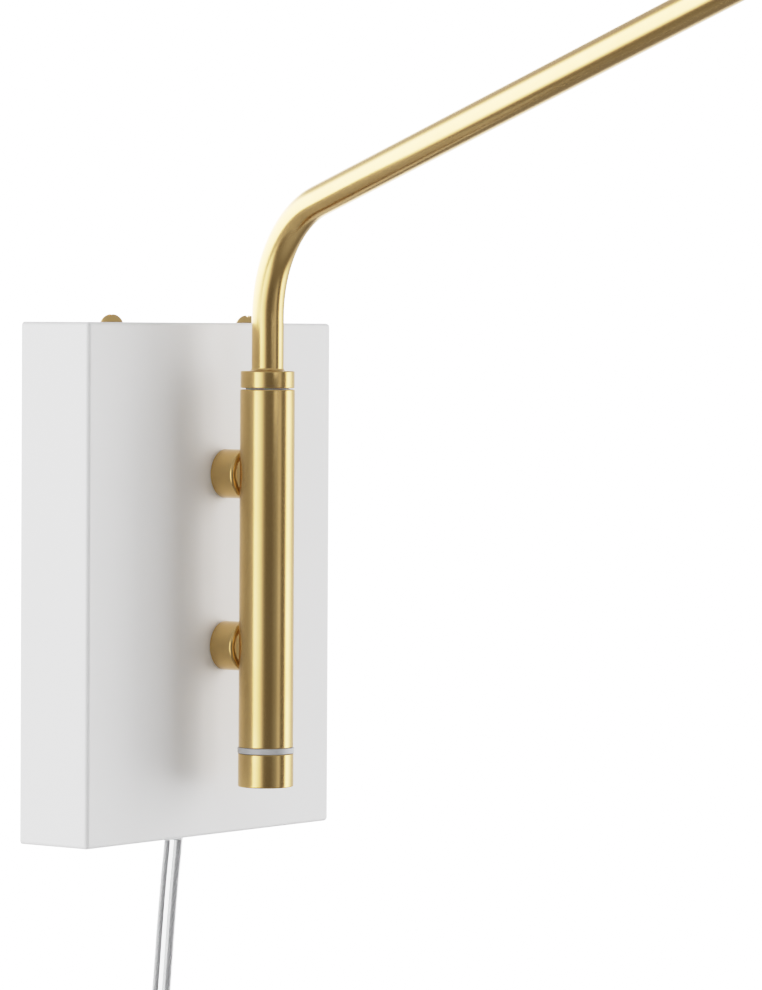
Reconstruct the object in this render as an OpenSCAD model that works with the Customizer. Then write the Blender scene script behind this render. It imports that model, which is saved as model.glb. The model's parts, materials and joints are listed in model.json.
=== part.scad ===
// Swing arm wall sconce: a box cover on a wall bracket carries a vertical barrel on two standoffs.
// A bent arm turns in the barrel and carries a tilting shade. A flat cord leaves the box at the bottom.
// Frame: origin on the wall behind the middle of the box, +X right, +Y into the wall, +Z up.

/* [Box cover] */
// Width of the box cover
cover_w = 152.4; // [130:0.1:180]
// Height of the box cover
cover_h = 203.2; // [190:0.1:230]
// Depth of the box cover from the wall
cover_d = 34; // [32:0.5:44]
// Sheet thickness of the box cover
cover_t = 1.5; // [1:0.1:2]
// Radius of the cover's outer edges
cover_edge_r = 2.4; // [1.5:0.1:4]
// Distance of each cover screw from the middle
screw_x = 42.5; // [25:0.5:50]

/* [Barrel and standoffs] */
// Barrel axis, to the right of the middle of the box
barrel_x = 7.7; // [0:0.1:10]
// Barrel axis, in front of the cover's face
barrel_out = 21.2; // [20:0.1:26]
// Outer diameter of the barrel
barrel_d = 21.7; // [20:0.1:24]
// Height of the barrel's top end
barrel_top = 75.4; // [60:0.1:80]
// Height of the barrel's bottom end
barrel_bottom = -65.9; // [-70:0.1:-50]
// Diameter of the standoffs
standoff_d = 19.4; // [16:0.1:20]
// Height of the upper standoff
standoff_upper_z = 41.8; // [35:0.1:50]
// Height of the lower standoff
standoff_lower_z = -26.5; // [-35:0.1:-20]

/* [Arm] */
// Outer diameter of the arm tube
arm_d = 12.7; // [11.5:0.1:13]
// Height where the tube starts to bend
bend_z = 104; // [100:1:120]
// Centreline radius of the bend
bend_r = 47; // [35:1:60]
// Rise of the straight arm above level
arm_rise = 16; // [10:0.5:25]
// Swing of the arm at rest, from straight out towards the left
arm_yaw = 16.5; // [0:0.5:40]
// Length of the straight part of the arm tube
arm_len = 400; // [300:5:450]

/* [Shade and lamp] */
// Diameter of the shade's rim
shade_rim_d = 140; // [120:1:170]
// Depth of the shade from its top plate to its rim
shade_h = 88; // [80:1:100]
// Diameter of the bulb
bulb_d = 48; // [40:1:55]

/* [Cord] */
// Width of the flat cord
cord_w = 7.6; // [7:0.1:8]
// Thickness of the flat cord
cord_t = 3.8; // [3.5:0.1:4]
// Length of the straight runs of the hank
hank_run = 124; // [114:1:150]

/* [Hidden] */
$fn = 96;

// Overshoot of a cut beyond the face that it opens
cut = 1;
// Radial clearance of a running fit
fit = 0.05;

// Box
inner_top = cover_h / 2 - cover_t;
face_y = -cover_d;
inner_face_y = face_y + cover_t;
screw_y = -cover_d / 2;
bracket_t = 1.6;
bracket_w = 124;
bracket_gap = 0.2;
flange_top = inner_top - bracket_gap;
flange_reach = 27;
slot_spacing = 88.9;
slot_len = 12;
slot_r = 2.3;
plate_t = 2;
plate_y = inner_face_y + plate_t;

// Cover screws
screw_r = 1.9;
screw_head_r = 4.5;
screw_head_h = 3.2;

// Barrel, spindle and bushes
barrel_y = face_y - barrel_out;
barrel_r = barrel_d / 2;
barrel_bore_r = 9;
spindle_r = 5.5;
spindle_bore_r = 3.6;
spindle_end = barrel_bottom - 13.1;
bush_len = 12;
bush_stand = 0.5;
washer_r = 11.2;
washer_t = 2.3;
collar_gap = 0.6;
collar_r = 10.7;
collar_z = barrel_top + collar_gap;
collar_h = 6.7;
seat_z = collar_z + 4;
cap_gap = 0.1;
cap_r = 11;
cap_top = barrel_bottom - washer_t - cap_gap;
cap_h = 13.2;
window_h = 10;
window_angle = 200;
stop_pin_r = 1.5;
stop_pin_tip = 8.2;
stop_pin_z = barrel_top - 15;
stop_angle = 192;
stop_recess_h = 5;

// Standoffs
standoff_r = standoff_d / 2;
shoulder_h = 11.4;
core_r = 8;
nipple_r = 5;
nipple_bore_r = 3.4;
lock_t = 1;
m5_r = 2.5;

// Arm
tube_bore_r = 5.15;
bend_angle = 90 - arm_rise;
bend_end_x = bend_r * (1 - cos(bend_angle));
bend_end_z = bend_z + bend_r * sin(bend_angle);
spigot = 12;
join_gap = 0.1;
join_len = 1;
join_proud = 0.06;
wires_r = 2.2;
fork_base = 6;
fork_slot = 14;
knuckle_r = 7.2;
ear_gap = 7.2;
fork_w = 14;
pivot_s = arm_len + fork_base + fork_slot;
pivot_at = [bend_end_x + pivot_s * cos(arm_rise), 0, bend_end_z + pivot_s * sin(arm_rise)];

// Head, measured down from the tilt pivot
tongue_t = 6;
neck_w = 8;
neck_len = 16;
stem_r = 4.5;
stem_end = 35;
cup_top = 30;
cup_r = 19;
cup_t = 1.95;
cup_bottom = 65.8;
socket_r = 17;
socket_top = 38;
socket_bottom = 84;
socket_bore_r = 13.4;
shade_top = 66;
shade_neck_r = 17.2;
shade_shoulder_r = 9;
shade_t = 1;
rim_wire_r = 1.3;
ring_r = 21;
bulb_r = bulb_d / 2;
bulb_base_r = 13.1;
bulb_neck_r = 12;
bulb_seam = 76;
bulb_mid = 118;
glass_t = 0.9;
switch_z = 50;
switch_stem_r = 2;
knob_r = 5.5;
knob_start = 21;
knob_len = 9;

// Cord: the grommet, the hank's runs and layers, and the plug
cord_y = -14.5;
cord_exit_z = -cover_h / 2 - 3;
cord_turn = 52;
hank_fold_r = 3 * cord_w;
hank_top = -200;
hank_bottom = hank_top - hank_run;
hank_layers = 5;
hank_back_y = -6;
hank_front_y = hank_back_y - (hank_layers - 1) * cord_w;
tie_z = (hank_top + hank_bottom) / 2;
tie_w = 12;
tie_t = 1.4;
plug_z = -367;
plug_len = 32;
blade_len = 17;
lead_route = [[0, -14.5, cord_exit_z], [0, -14, -110], [0, -12.8, -120], [0, -11.2, -136],
    [0, -9.8, -152], [0, -8.4, -168], [0, -7, -184], [0, -6, hank_top]];
end_route = [[0, hank_front_y, -330], [0, hank_front_y, -348], [0, hank_front_y, plug_z]];

// ---- Shapes that repeat ----

// A rectangle around the origin with round corners
module round_rect(w, h, r) {
    square([w - 2 * r, h], center = true);
    square([w, h - 2 * r], center = true);
    for (x = [-1, 1], y = [-1, 1]) translate([x * (w / 2 - r), y * (h / 2 - r)]) circle(r);
}

// A wall screw's slot, its length along X
module slot_section() {
    square([slot_len - 2 * slot_r, 2 * slot_r], center = true);
    for (s = [-1, 1]) translate([s * (slot_len / 2 - slot_r), 0]) circle(slot_r);
}

// A section from the wall to the face, round at its two front corners
module front_rounded(length, r) {
    translate([-cover_d, -length / 2 + r]) square([cover_d, length - 2 * r]);
    translate([-cover_d + r, -length / 2]) square([cover_d - r, length]);
    for (s = [-1, 1]) translate([-cover_d + r, s * (length / 2 - r)]) circle(r);
}

// A flat cord's section, its width along X
module flat_cord_section() {
    square([cord_w - cord_t, cord_t], center = true);
    for (s = [-1, 1]) translate([s * (cord_w - cord_t) / 2, 0]) circle(cord_t / 2);
}

// A ring around +Z that stands on the origin
module ring(outer_r, inner_r, h) {
    difference() {
        cylinder(h = h, r = outer_r);
        translate([0, 0, -cut]) cylinder(h = h + 2 * cut, r = inner_r);
    }
}

// A hexagon nut that stands on the origin
module hex_nut(across_flats, bore_r, h) {
    difference() {
        cylinder(h = h, r = across_flats / sqrt(3), $fn = 6);
        translate([0, 0, -cut]) cylinder(h = h + 2 * cut, r = bore_r);
    }
}

// Unit vector
function unit(v) = v / norm(v);

// Direction of a route at one of its points
function heading(route, i) = unit(route[min(i + 1, len(route) - 1)] - route[max(i - 1, 0)]);

// One ring of a tube's points, square to the route
function tube_ring(route, i, r, sides) =
    let (t = heading(route, i), u = unit(cross(t, [1, 0, 0])), v = cross(t, u))
    [for (k = [0 : sides - 1]) route[i] + r * (cos(360 * k / sides) * u + sin(360 * k / sides) * v)];

// A cord or wire swept along a route as one closed skin
module swept_tube(route, r, sides = 8) {
    rings = len(route);
    skin = [for (i = [0 : rings - 1]) each tube_ring(route, i, r, sides)];
    walls = [for (i = [0 : rings - 2], k = [0 : sides - 1]) let (m = (k + 1) % sides)
        [i * sides + k, i * sides + m, (i + 1) * sides + m, (i + 1) * sides + k]];
    first = [for (k = [0 : sides - 1]) sides - 1 - k];
    last = [for (k = [0 : sides - 1]) (rings - 1) * sides + k];
    polyhedron(skin, concat(walls, [first, last]));
}

// The frame of the barrel: Z is the swing axis
module at_barrel() { translate([barrel_x, barrel_y, 0]) children(); }

// The frame of the arm: X points out along the arm, Z is the swing axis
module in_arm() { at_barrel() rotate([0, 0, -90 - arm_yaw]) children(); }

// The straight arm's own frame: X runs along the tube from the end of its bend
module along_arm() { in_arm() translate([bend_end_x, 0, bend_end_z]) rotate([0, -arm_rise, 0]) children(); }

// The frame of the head: origin at the tilt pivot, Z points down through the shade
module in_head() { in_arm() translate(pivot_at) rotate([180, 0, 0]) children(); }

// The section of a round bar, hollow where inner_r is over 0
module bar_section(outer_r, inner_r) {
    difference() {
        circle(outer_r);
        if (inner_r > 0) circle(inner_r);
    }
}

// A round bar along the arm's centreline, from a height on the swing axis. Its lengths stop just short
// of each other, and a sleeve that stands hardly proud of them makes them one solid at each join.
module arm_path(outer_r, inner_r, from_z, straight) {
    in_arm() {
        translate([0, 0, from_z]) linear_extrude(bend_z - from_z - join_gap) bar_section(outer_r, inner_r);
        translate([0, 0, bend_z]) join_sleeve(outer_r, inner_r);
        translate([bend_r, 0, bend_z]) rotate([90, 0, 0]) rotate([0, 0, 180 - bend_angle])
            rotate_extrude(angle = bend_angle) translate([bend_r, 0]) bar_section(outer_r, inner_r);
    }
    along_arm() rotate([0, 90, 0]) {
        translate([0, 0, join_gap]) linear_extrude(straight - join_gap) bar_section(outer_r, inner_r);
        join_sleeve(outer_r, inner_r);
    }
}

// The sleeve over one join of the bar
module join_sleeve(outer_r, inner_r) {
    translate([0, 0, -join_len / 2]) linear_extrude(join_len)
        bar_section(outer_r + join_proud, max(inner_r - join_proud, 0));
}

// ---- Box and bracket ----

module cover_block() {
    intersection() {
        rotate([90, 0, 0]) linear_extrude(cover_d) round_rect(cover_w, cover_h, cover_edge_r);
        translate([-cover_w / 2, 0, 0]) rotate([90, 0, 90])
            linear_extrude(cover_w) front_rounded(cover_h, cover_edge_r);
        translate([0, 0, -cover_h / 2]) linear_extrude(cover_h)
            rotate(90) front_rounded(cover_w, cover_edge_r);
    }
}

module box_cover() {
    color("white") difference() {
        cover_block();
        translate([-cover_w / 2 + cover_t, inner_face_y, -inner_top])
            cube([cover_w - 2 * cover_t, cover_d, 2 * inner_top]);
        for (s = [-1, 1]) translate([s * screw_x, screw_y, inner_top - cut])
            cylinder(h = cover_t + 2 * cut, r = screw_r + 0.3);
        translate([0, cord_y, -cover_h / 2 - cut]) cylinder(h = cover_t + 2 * cut, r = 6);
        translate([barrel_x, inner_face_y + cut, standoff_upper_z])
            rotate([90, 0, 0]) cylinder(h = cover_t + 2 * cut, r = nipple_r + 0.2);
        translate([barrel_x, inner_face_y + cut, standoff_lower_z])
            rotate([90, 0, 0]) cylinder(h = cover_t + 2 * cut, r = m5_r + 0.2);
    }
}

module wall_bracket() {
    color("silver") difference() {
        union() {
            translate([-bracket_w / 2, -bracket_t, -flange_top]) cube([bracket_w, bracket_t, 2 * flange_top]);
            for (z = [flange_top - bracket_t, -flange_top])
                translate([-bracket_w / 2, -flange_reach, z]) cube([bracket_w, flange_reach, bracket_t]);
        }
        for (s = [-1, 1]) {
            translate([s * slot_spacing / 2, cut, 0]) rotate([90, 0, 0])
                linear_extrude(bracket_t + 2 * cut) slot_section();
            translate([s * screw_x, screw_y, flange_top - bracket_t - cut])
                cylinder(h = bracket_t + 2 * cut, r = screw_r);
        }
        translate([0, cord_y, -flange_top - cut]) cylinder(h = bracket_t + 2 * cut, r = 9);
        translate([-9, -flange_reach - cut, -flange_top - cut])
            cube([18, flange_reach + cut + cord_y, bracket_t + 2 * cut]);
    }
}

module dome_screw() {
    ball_r = (screw_head_r * screw_head_r + screw_head_h * screw_head_h) / (2 * screw_head_h);
    difference() {
        intersection() {
            cylinder(h = screw_head_h, r = screw_head_r);
            translate([0, 0, screw_head_h - ball_r]) sphere(ball_r);
        }
        for (a = [0, 90]) rotate([0, 0, a + 20]) translate([-2.6, -0.55, 1.7]) cube([5.2, 1.1, 3]);
    }
    translate([0, 0, -8]) cylinder(h = 8, r = screw_r);
}

module cover_screws() {
    color("goldenrod") for (s = [-1, 1])
        translate([s * screw_x, screw_y, cover_h / 2]) dome_screw();
}

module stiffener_plate() {
    color("silver") difference() {
        translate([barrel_x - 26, inner_face_y, -46]) cube([52, plate_t, 108]);
        translate([barrel_x, plate_y + cut, standoff_upper_z])
            rotate([90, 0, 0]) cylinder(h = plate_t + 2 * cut, r = nipple_r + 0.2);
        translate([barrel_x, plate_y + cut, standoff_lower_z])
            rotate([90, 0, 0]) cylinder(h = plate_t + 2 * cut, r = m5_r + 0.2);
    }
}

// ---- Standoffs and their fastenings ----

// A standoff with a shoulder: a wide foot with a flat end, and a narrower core cut to the barrel
module standoff(z, bore_r) {
    difference() {
        translate([barrel_x, face_y, z]) rotate([90, 0, 0]) {
            cylinder(h = shoulder_h, r = standoff_r);
            cylinder(h = barrel_out, r = core_r);
        }
        at_barrel() translate([0, 0, z - 20]) cylinder(h = 40, r = barrel_r);
        translate([barrel_x, face_y + cut, z]) rotate([90, 0, 0]) cylinder(h = 9.5 + cut, r = bore_r);
    }
}

module standoff_upper() {
    color("goldenrod") difference() {
        standoff(standoff_upper_z, nipple_r);
        translate([barrel_x, face_y, standoff_upper_z]) rotate([90, 0, 0]) cylinder(h = barrel_out, r = 3);
    }
}

module standoff_lower() { color("goldenrod") standoff(standoff_lower_z, m5_r); }

module standoff_nipple() {
    color("gold") translate([barrel_x, plate_y + 7, standoff_upper_z]) rotate([90, 0, 0])
        ring(nipple_r, nipple_bore_r, 9 + 7 + plate_t + cover_t);
}

module nipple_washer() {
    color("gray") translate([barrel_x, plate_y + lock_t, standoff_upper_z]) rotate([90, 0, 0])
        ring(8.5, nipple_r, lock_t);
}

module nipple_nut() {
    color("silver") translate([barrel_x, plate_y + lock_t + 4, standoff_upper_z]) rotate([90, 0, 0])
        hex_nut(14, nipple_r, 4);
}

module standoff_washer() {
    color("gray") translate([barrel_x, plate_y + lock_t, standoff_lower_z]) rotate([90, 0, 0])
        ring(6, m5_r, lock_t);
}

module standoff_screw() {
    color("silver") translate([barrel_x, plate_y + lock_t, standoff_lower_z]) rotate([90, 0, 0]) {
        cylinder(h = lock_t + plate_t + cover_t + 8.5, r = m5_r);
        difference() {
            translate([0, 0, -3]) cylinder(h = 3, r = 4.6);
            for (a = [0, 90]) rotate([0, 0, a]) translate([-2.4, -0.5, -3 - cut]) cube([4.8, 1, cut + 1.6]);
        }
    }
}

// ---- Barrel and bearings ----

module barrel() {
    color("goldenrod") at_barrel() difference() {
        translate([0, 0, barrel_bottom]) ring(barrel_r, barrel_bore_r, barrel_top - barrel_bottom);
        translate([0, 0, standoff_upper_z]) rotate([-90, 0, 0]) cylinder(h = barrel_r + cut, r = 3);
    }
}

// Upper bush, its lower end cut away where the stop pin travels
module upper_bush() {
    color("ivory") at_barrel() difference() {
        union() {
            translate([0, 0, barrel_top - bush_len - 6]) ring(barrel_bore_r, spindle_r + fit, bush_len + 6);
            translate([0, 0, barrel_top - cut]) ring(8.6, spindle_r + fit, bush_stand + cut);
        }
        translate([0, 0, barrel_top - bush_len - 6 - cut]) rotate([0, 0, -90 - stop_angle / 2])
            rotate_extrude(angle = stop_angle) translate([spindle_r - cut, 0])
                square([stop_pin_tip + 0.2 - spindle_r + cut, stop_recess_h + cut]);
    }
}

module lower_bush() {
    color("ivory") at_barrel() translate([0, 0, barrel_bottom])
        ring(barrel_bore_r, spindle_r + fit, bush_len);
}

module friction_washer() {
    color("white") at_barrel() translate([0, 0, barrel_bottom - washer_t])
        ring(washer_r, spindle_r + fit, washer_t);
}

module swivel_collar() {
    color("goldenrod") at_barrel() {
        difference() {
            translate([0, 0, collar_z]) cylinder(h = collar_h, r = collar_r);
            translate([0, 0, collar_z - cut]) cylinder(h = collar_h, r = spindle_r);
            translate([0, 0, seat_z]) cylinder(h = collar_h, r = arm_d / 2);
        }
        translate([0, 0, collar_z + collar_h]) rotate_extrude() translate([arm_d / 2, 0])
            difference() {
                square(1.2);
                translate([1.2, 1.2]) circle(1.2);
            }
    }
}

module spindle() {
    color("gold") difference() {
        union() {
            at_barrel() translate([0, 0, spindle_end]) cylinder(h = seat_z - spindle_end, r = spindle_r);
            at_barrel() translate([0, 0, seat_z]) cylinder(h = spigot, r = tube_bore_r);
        }
        at_barrel() translate([0, 0, standoff_upper_z - window_h])
            cylinder(h = seat_z + spigot - standoff_upper_z + window_h + cut, r = spindle_bore_r);
        in_arm() translate([0, 0, standoff_upper_z - window_h / 2]) rotate([0, 0, 180 - window_angle / 2])
            rotate_extrude(angle = window_angle) translate([spindle_bore_r - cut, 0])
                square([spindle_r - spindle_bore_r + 2 * cut, window_h]);
        in_arm() translate([0, 0, stop_pin_z]) rotate([0, 90, 0])
            cylinder(h = spindle_r + cut, r = stop_pin_r);
    }
}

module stop_pin() {
    color("silver") in_arm() translate([spindle_bore_r, 0, stop_pin_z]) rotate([0, 90, 0])
        cylinder(h = stop_pin_tip - spindle_bore_r, r = stop_pin_r);
}

module spring_washer() {
    color("gray") at_barrel() translate([0, 0, cap_top - 1.2]) ring(8, spindle_r, 1);
}

module spindle_nut() {
    color("silver") at_barrel() translate([0, 0, cap_top - 1.2 - 4.5]) hex_nut(14, spindle_r, 4.5);
}

module end_cap() {
    color("goldenrod") at_barrel() difference() {
        translate([0, 0, cap_top - cap_h]) rotate_extrude() polygon([[0, 0], [cap_r - 0.4, 0],
            [cap_r, 0.4], [cap_r, cap_h - 0.3], [cap_r - 0.3, cap_h], [0, cap_h]]);
        translate([0, 0, cap_top - 6]) cylinder(h = 6 + cut, r = 8.6);
        translate([0, 0, spindle_end]) cylinder(h = cap_h, r = spindle_r);
    }
}

// ---- Arm ----

module arm_tube() { color("goldenrod") arm_path(arm_d / 2, tube_bore_r, seat_z, arm_len); }

module arm_wires() {
    color("white") arm_path(wires_r, 0, standoff_upper_z - 4, arm_len + fork_base - 1);
}

module knuckle_fork() {
    color("goldenrod") along_arm() difference() {
        union() {
            translate([arm_len - spigot, 0, 0]) rotate([0, 90, 0])
                cylinder(h = spigot + cut, r = tube_bore_r);
            translate([arm_len, 0, 0]) rotate([0, 90, 0]) cylinder(h = fork_base + 2, r = knuckle_r);
            translate([arm_len + fork_base, -fork_w / 2, -knuckle_r])
                cube([fork_slot, fork_w, 2 * knuckle_r]);
            translate([pivot_s, fork_w / 2, 0]) rotate([90, 0, 0]) cylinder(h = fork_w, r = knuckle_r);
        }
        translate([arm_len + fork_base, -ear_gap / 2, -knuckle_r - cut])
            cube([fork_slot + knuckle_r + cut, ear_gap, 2 * (knuckle_r + cut)]);
        translate([arm_len - spigot - cut, 0, 0]) rotate([0, 90, 0])
            cylinder(h = spigot + fork_base + 2 * cut, r = 2.4);
        translate([pivot_s, fork_w / 2 + cut, 0]) rotate([90, 0, 0]) cylinder(h = fork_w + 2 * cut, r = m5_r);
    }
}

module pivot_screw() {
    color("goldenrod") along_arm() translate([pivot_s, 0, 0]) rotate([90, 0, 0]) difference() {
        union() {
            translate([0, 0, -fork_w / 2 - 5]) cylinder(h = fork_w + 5, r = m5_r);
            translate([0, 0, fork_w / 2]) cylinder(h = 2.6, r = 4.6);
        }
        for (a = [0, 90]) rotate([0, 0, a]) translate([-2.4, -0.5, fork_w / 2 + 1.2]) cube([4.8, 1, 3]);
    }
}

module pivot_nut() {
    color("goldenrod") along_arm() translate([pivot_s, 0, 0]) rotate([-90, 0, 0])
        translate([0, 0, fork_w / 2]) difference() {
            union() {
                cylinder(h = 4, r = 8 / sqrt(3), $fn = 6);
                translate([0, 0, 3]) intersection() {
                    cylinder(h = 4, r = 3.9);
                    sphere(4);
                }
            }
            translate([0, 0, -cut]) cylinder(h = 5 + cut, r = m5_r);
        }
}

module tilt_washers() {
    color("white") along_arm() translate([pivot_s, 0, 0]) rotate([90, 0, 0])
        for (z = [-ear_gap / 2, ear_gap / 2 - 0.5]) translate([0, 0, z]) ring(6, m5_r, 0.5);
}

// ---- Head ----

module knuckle_tongue() {
    color("goldenrod") in_head() difference() {
        union() {
            rotate([90, 0, 0]) translate([0, 0, -tongue_t / 2]) cylinder(h = tongue_t, r = knuckle_r);
            translate([-neck_w / 2, -tongue_t / 2, 0]) cube([neck_w, tongue_t, neck_len + cut]);
            translate([0, 0, neck_len]) cylinder(h = stem_end - neck_len, r = stem_r);
        }
        rotate([90, 0, 0]) translate([0, 0, -tongue_t]) cylinder(h = 2 * tongue_t, r = m5_r + fit);
        translate([0, 0, 13]) cylinder(h = stem_end, r = 2);
        translate([-neck_w, 0, 13]) rotate([0, 90, 0]) cylinder(h = neck_w, r = 1.8);
    }
}

module stem_nut() {
    color("silver") in_head() translate([0, 0, cup_top + cup_t]) hex_nut(13, stem_r, 2.8);
}

module socket_cup() {
    color("goldenrod") in_head() difference() {
        rotate_extrude() polygon([[0, cup_top], [cup_r - 3, cup_top], [cup_r - 1, cup_top + 0.8],
            [cup_r, cup_top + 3], [cup_r, cup_bottom], [0, cup_bottom]]);
        translate([0, 0, cup_top + cup_t]) cylinder(h = cup_bottom, r = cup_r - cup_t);
        translate([0, 0, cup_top - cut]) cylinder(h = 2 * cut + cup_t, r = stem_r);
        translate([0, cup_r - 2 * cup_t, switch_z]) rotate([-90, 0, 0])
            cylinder(h = 3 * cup_t, r = switch_stem_r + fit);
    }
}

module lamp_socket() {
    color("ivory") in_head() difference() {
        translate([0, 0, socket_top]) cylinder(h = socket_bottom - socket_top, r = socket_r);
        translate([0, 0, socket_top + 16]) cylinder(h = socket_bottom, r = socket_bore_r);
        translate([0, 11, switch_z]) rotate([-90, 0, 0]) cylinder(h = 10, r = switch_stem_r + fit);
        for (s = [-1, 1]) translate([s * 3, 0, socket_top - cut]) cylinder(h = 8 + cut, r = 1.2);
    }
}

module socket_leads() {
    color("white") in_head() for (s = [-1, 1])
        swept_tube([[s * 0.9, 0, stem_end - 12], [s * 0.9, 0, stem_end + 0.5], [s * 3, 0, socket_top + 0.5],
            [s * 3, 0, socket_top + 7]], 0.85);
}

// Points of an arc
function arc(centre, r, from, to, steps = 10) =
    [for (i = [0 : steps]) let (a = from + (to - from) * i / steps) centre + r * [cos(a), sin(a)]];

module shade() {
    flare = atan((shade_rim_d / 2 - 30) / (shade_h - 4));
    rim = [shade_rim_d / 2, shade_top + shade_h];
    shoulder = [rim.x - (shade_h - shade_shoulder_r) * tan(flare) - shade_shoulder_r / cos(flare),
        shade_top + shade_shoulder_r];
    color("white") in_head() {
        rotate_extrude() polygon(concat(
            [[shade_neck_r, shade_top + shade_t], [shade_neck_r, shade_top]],
            arc(shoulder, shade_shoulder_r, -90, -flare),
            [rim, rim - [shade_t / cos(flare), 0]],
            arc(shoulder, shade_shoulder_r - shade_t, -flare, -90)));
        translate([0, 0, rim.y]) rotate_extrude() translate([rim.x - rim_wire_r / 2, 0]) circle(rim_wire_r);
    }
}

module shade_ring() {
    color("ivory") in_head() translate([0, 0, shade_top + shade_t]) difference() {
        cylinder(h = 6, r = ring_r);
        translate([0, 0, -cut]) cylinder(h = 6 + 2 * cut, r = socket_r);
        for (a = [0 : 15 : 345]) rotate([0, 0, a])
            translate([ring_r + 0.5, 0, -cut]) cylinder(h = 6 + 2 * cut, r = 1.1);
    }
}

module bulb_base() {
    shell_t = 0.8;
    color("silver") in_head() rotate_extrude() polygon([[0, 55], [4, 55], [6, 57.5], [bulb_base_r, 60],
        [bulb_base_r, bulb_seam], [bulb_base_r - shell_t, bulb_seam], [bulb_base_r - shell_t, 61],
        [6, 58.5], [0, 58.5]]);
}

// Outline of the bulb from its neck to its end, a shell's thickness inside the glass
function bulb_outline(inside) =
    let (bulge = asin((bulb_neck_r + 2) / bulb_r))
    concat([[bulb_neck_r - inside, bulb_seam], [bulb_neck_r - inside, bulb_seam + 10]],
        arc([0, bulb_mid], bulb_r - inside, bulge - 90, 90, 24));

module bulb_glass() {
    inner = bulb_outline(glass_t);
    color("white") in_head() rotate_extrude()
        polygon(concat(bulb_outline(0), [for (i = [len(inner) - 1 : -1 : 0]) inner[i]]));
}

module switch_stem() {
    color("gold") in_head() translate([0, 12, switch_z]) rotate([-90, 0, 0])
        cylinder(h = knob_start + knob_len - 3 - 12, r = switch_stem_r);
}

module switch_knob() {
    color("black") in_head() translate([0, knob_start, switch_z]) rotate([-90, 0, 0]) difference() {
        cylinder(h = knob_len, r = knob_r);
        translate([0, 0, -cut]) cylinder(h = knob_len - 3 + cut, r = switch_stem_r);
        for (a = [0 : 24 : 336]) rotate([0, 0, a])
            translate([knob_r + 0.3, 0, 1.5]) cylinder(h = knob_len, r = 0.8);
    }
}

// ---- Cord, its entry and its plug ----

module cord_grommet() {
    color("white") translate([0, cord_y, 0]) difference() {
        union() {
            translate([0, 0, -cover_h / 2 - 1.5]) cylinder(h = 1.5, r = 7.5);
            translate([0, 0, cord_exit_z]) cylinder(h = 14, r = 5.8);
            translate([0, 0, -inner_top + 0.1]) cylinder(h = 3, r = 7);
        }
        translate([0, 0, cord_exit_z - cut]) rotate([0, 0, -cord_turn])
            linear_extrude(14 + 2 * cut) flat_cord_section();
    }
}

module cord_tail() {
    color("lightgray") translate([0, cord_y, cord_exit_z]) rotate([0, 0, -cord_turn])
        linear_extrude(24) flat_cord_section();
}

module wire_caps() {
    color("orange") for (s = [-1, 1]) translate([s * 16, cord_y, -66]) difference() {
        cylinder(h = 18, r1 = 5, r2 = 3.6);
        translate([0, 0, -cut]) cylinder(h = 12, r = 2.6);
    }
}

module box_leads() {
    color("gray") for (s = [-1, 1]) {
        swept_tube([[s * 1.2, cord_y - s * 1.5, cord_exit_z + 23], [s * 10, cord_y, -76],
            [s * 15.2, cord_y, -72], [s * 15.2, cord_y, -58]], 0.9);
        swept_tube([[s * 17, cord_y, -58], [s * 17, cord_y, -72], [s * 24, cord_y, -74],
            [s * 28, cord_y, -66], [s * 28, -12, 20], [barrel_x + s * 1.4, -14, standoff_upper_z],
            [barrel_x + s * 1.4, barrel_y + barrel_bore_r + 0.2, standoff_upper_z]], 0.9);
    }
}

module cord_lead() { color("lightgray") swept_tube(lead_route, cord_w / 2); }

module cord_end() { color("lightgray") swept_tube(end_route, cord_w / 2); }

module cord_hank() {
    outer_r = hank_fold_r + cord_w / 2;
    color("lightgray") translate([hank_fold_r, hank_back_y + cord_w / 2, tie_z]) rotate([90, 0, 0])
        linear_extrude(hank_layers * cord_w) {
            square([2 * outer_r, hank_run], center = true);
            for (s = [-1, 1]) translate([0, s * hank_run / 2]) circle(outer_r);
        }
}

module cord_tie() {
    w = 2 * hank_fold_r + cord_w;
    h = hank_layers * cord_w;
    color("white") translate([hank_fold_r, (hank_back_y + hank_front_y) / 2, tie_z - tie_w / 2])
        linear_extrude(tie_w) difference() {
            round_rect(w + 2 * tie_t, h + 2 * tie_t, tie_t);
            square([w, h], center = true);
        }
}

module plug_body() {
    color("lightgray") translate([0, hank_front_y, plug_z]) mirror([0, 0, 1]) hull() {
        linear_extrude(1) round_rect(11, 8, 3.9, $fn = 32);
        translate([0, 0, 16]) linear_extrude(1) round_rect(24, 15, 5, $fn = 32);
        translate([0, 0, plug_len - 1]) linear_extrude(1) round_rect(26, 17, 6, $fn = 32);
    }
}

module plug_blades() {
    color("silver") translate([0, hank_front_y, plug_z - plug_len]) for (s = [-1, 1])
        translate([s * 6.35, 0, 0]) difference() {
            translate([-0.75, -(s > 0 ? 3.95 : 3.15), -blade_len]) cube([1.5, s > 0 ? 7.9 : 6.3, blade_len]);
            translate([-cut, 0, -blade_len + 5]) rotate([0, 90, 0]) cylinder(h = 2 * cut, r = 1.6);
        }
}

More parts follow.
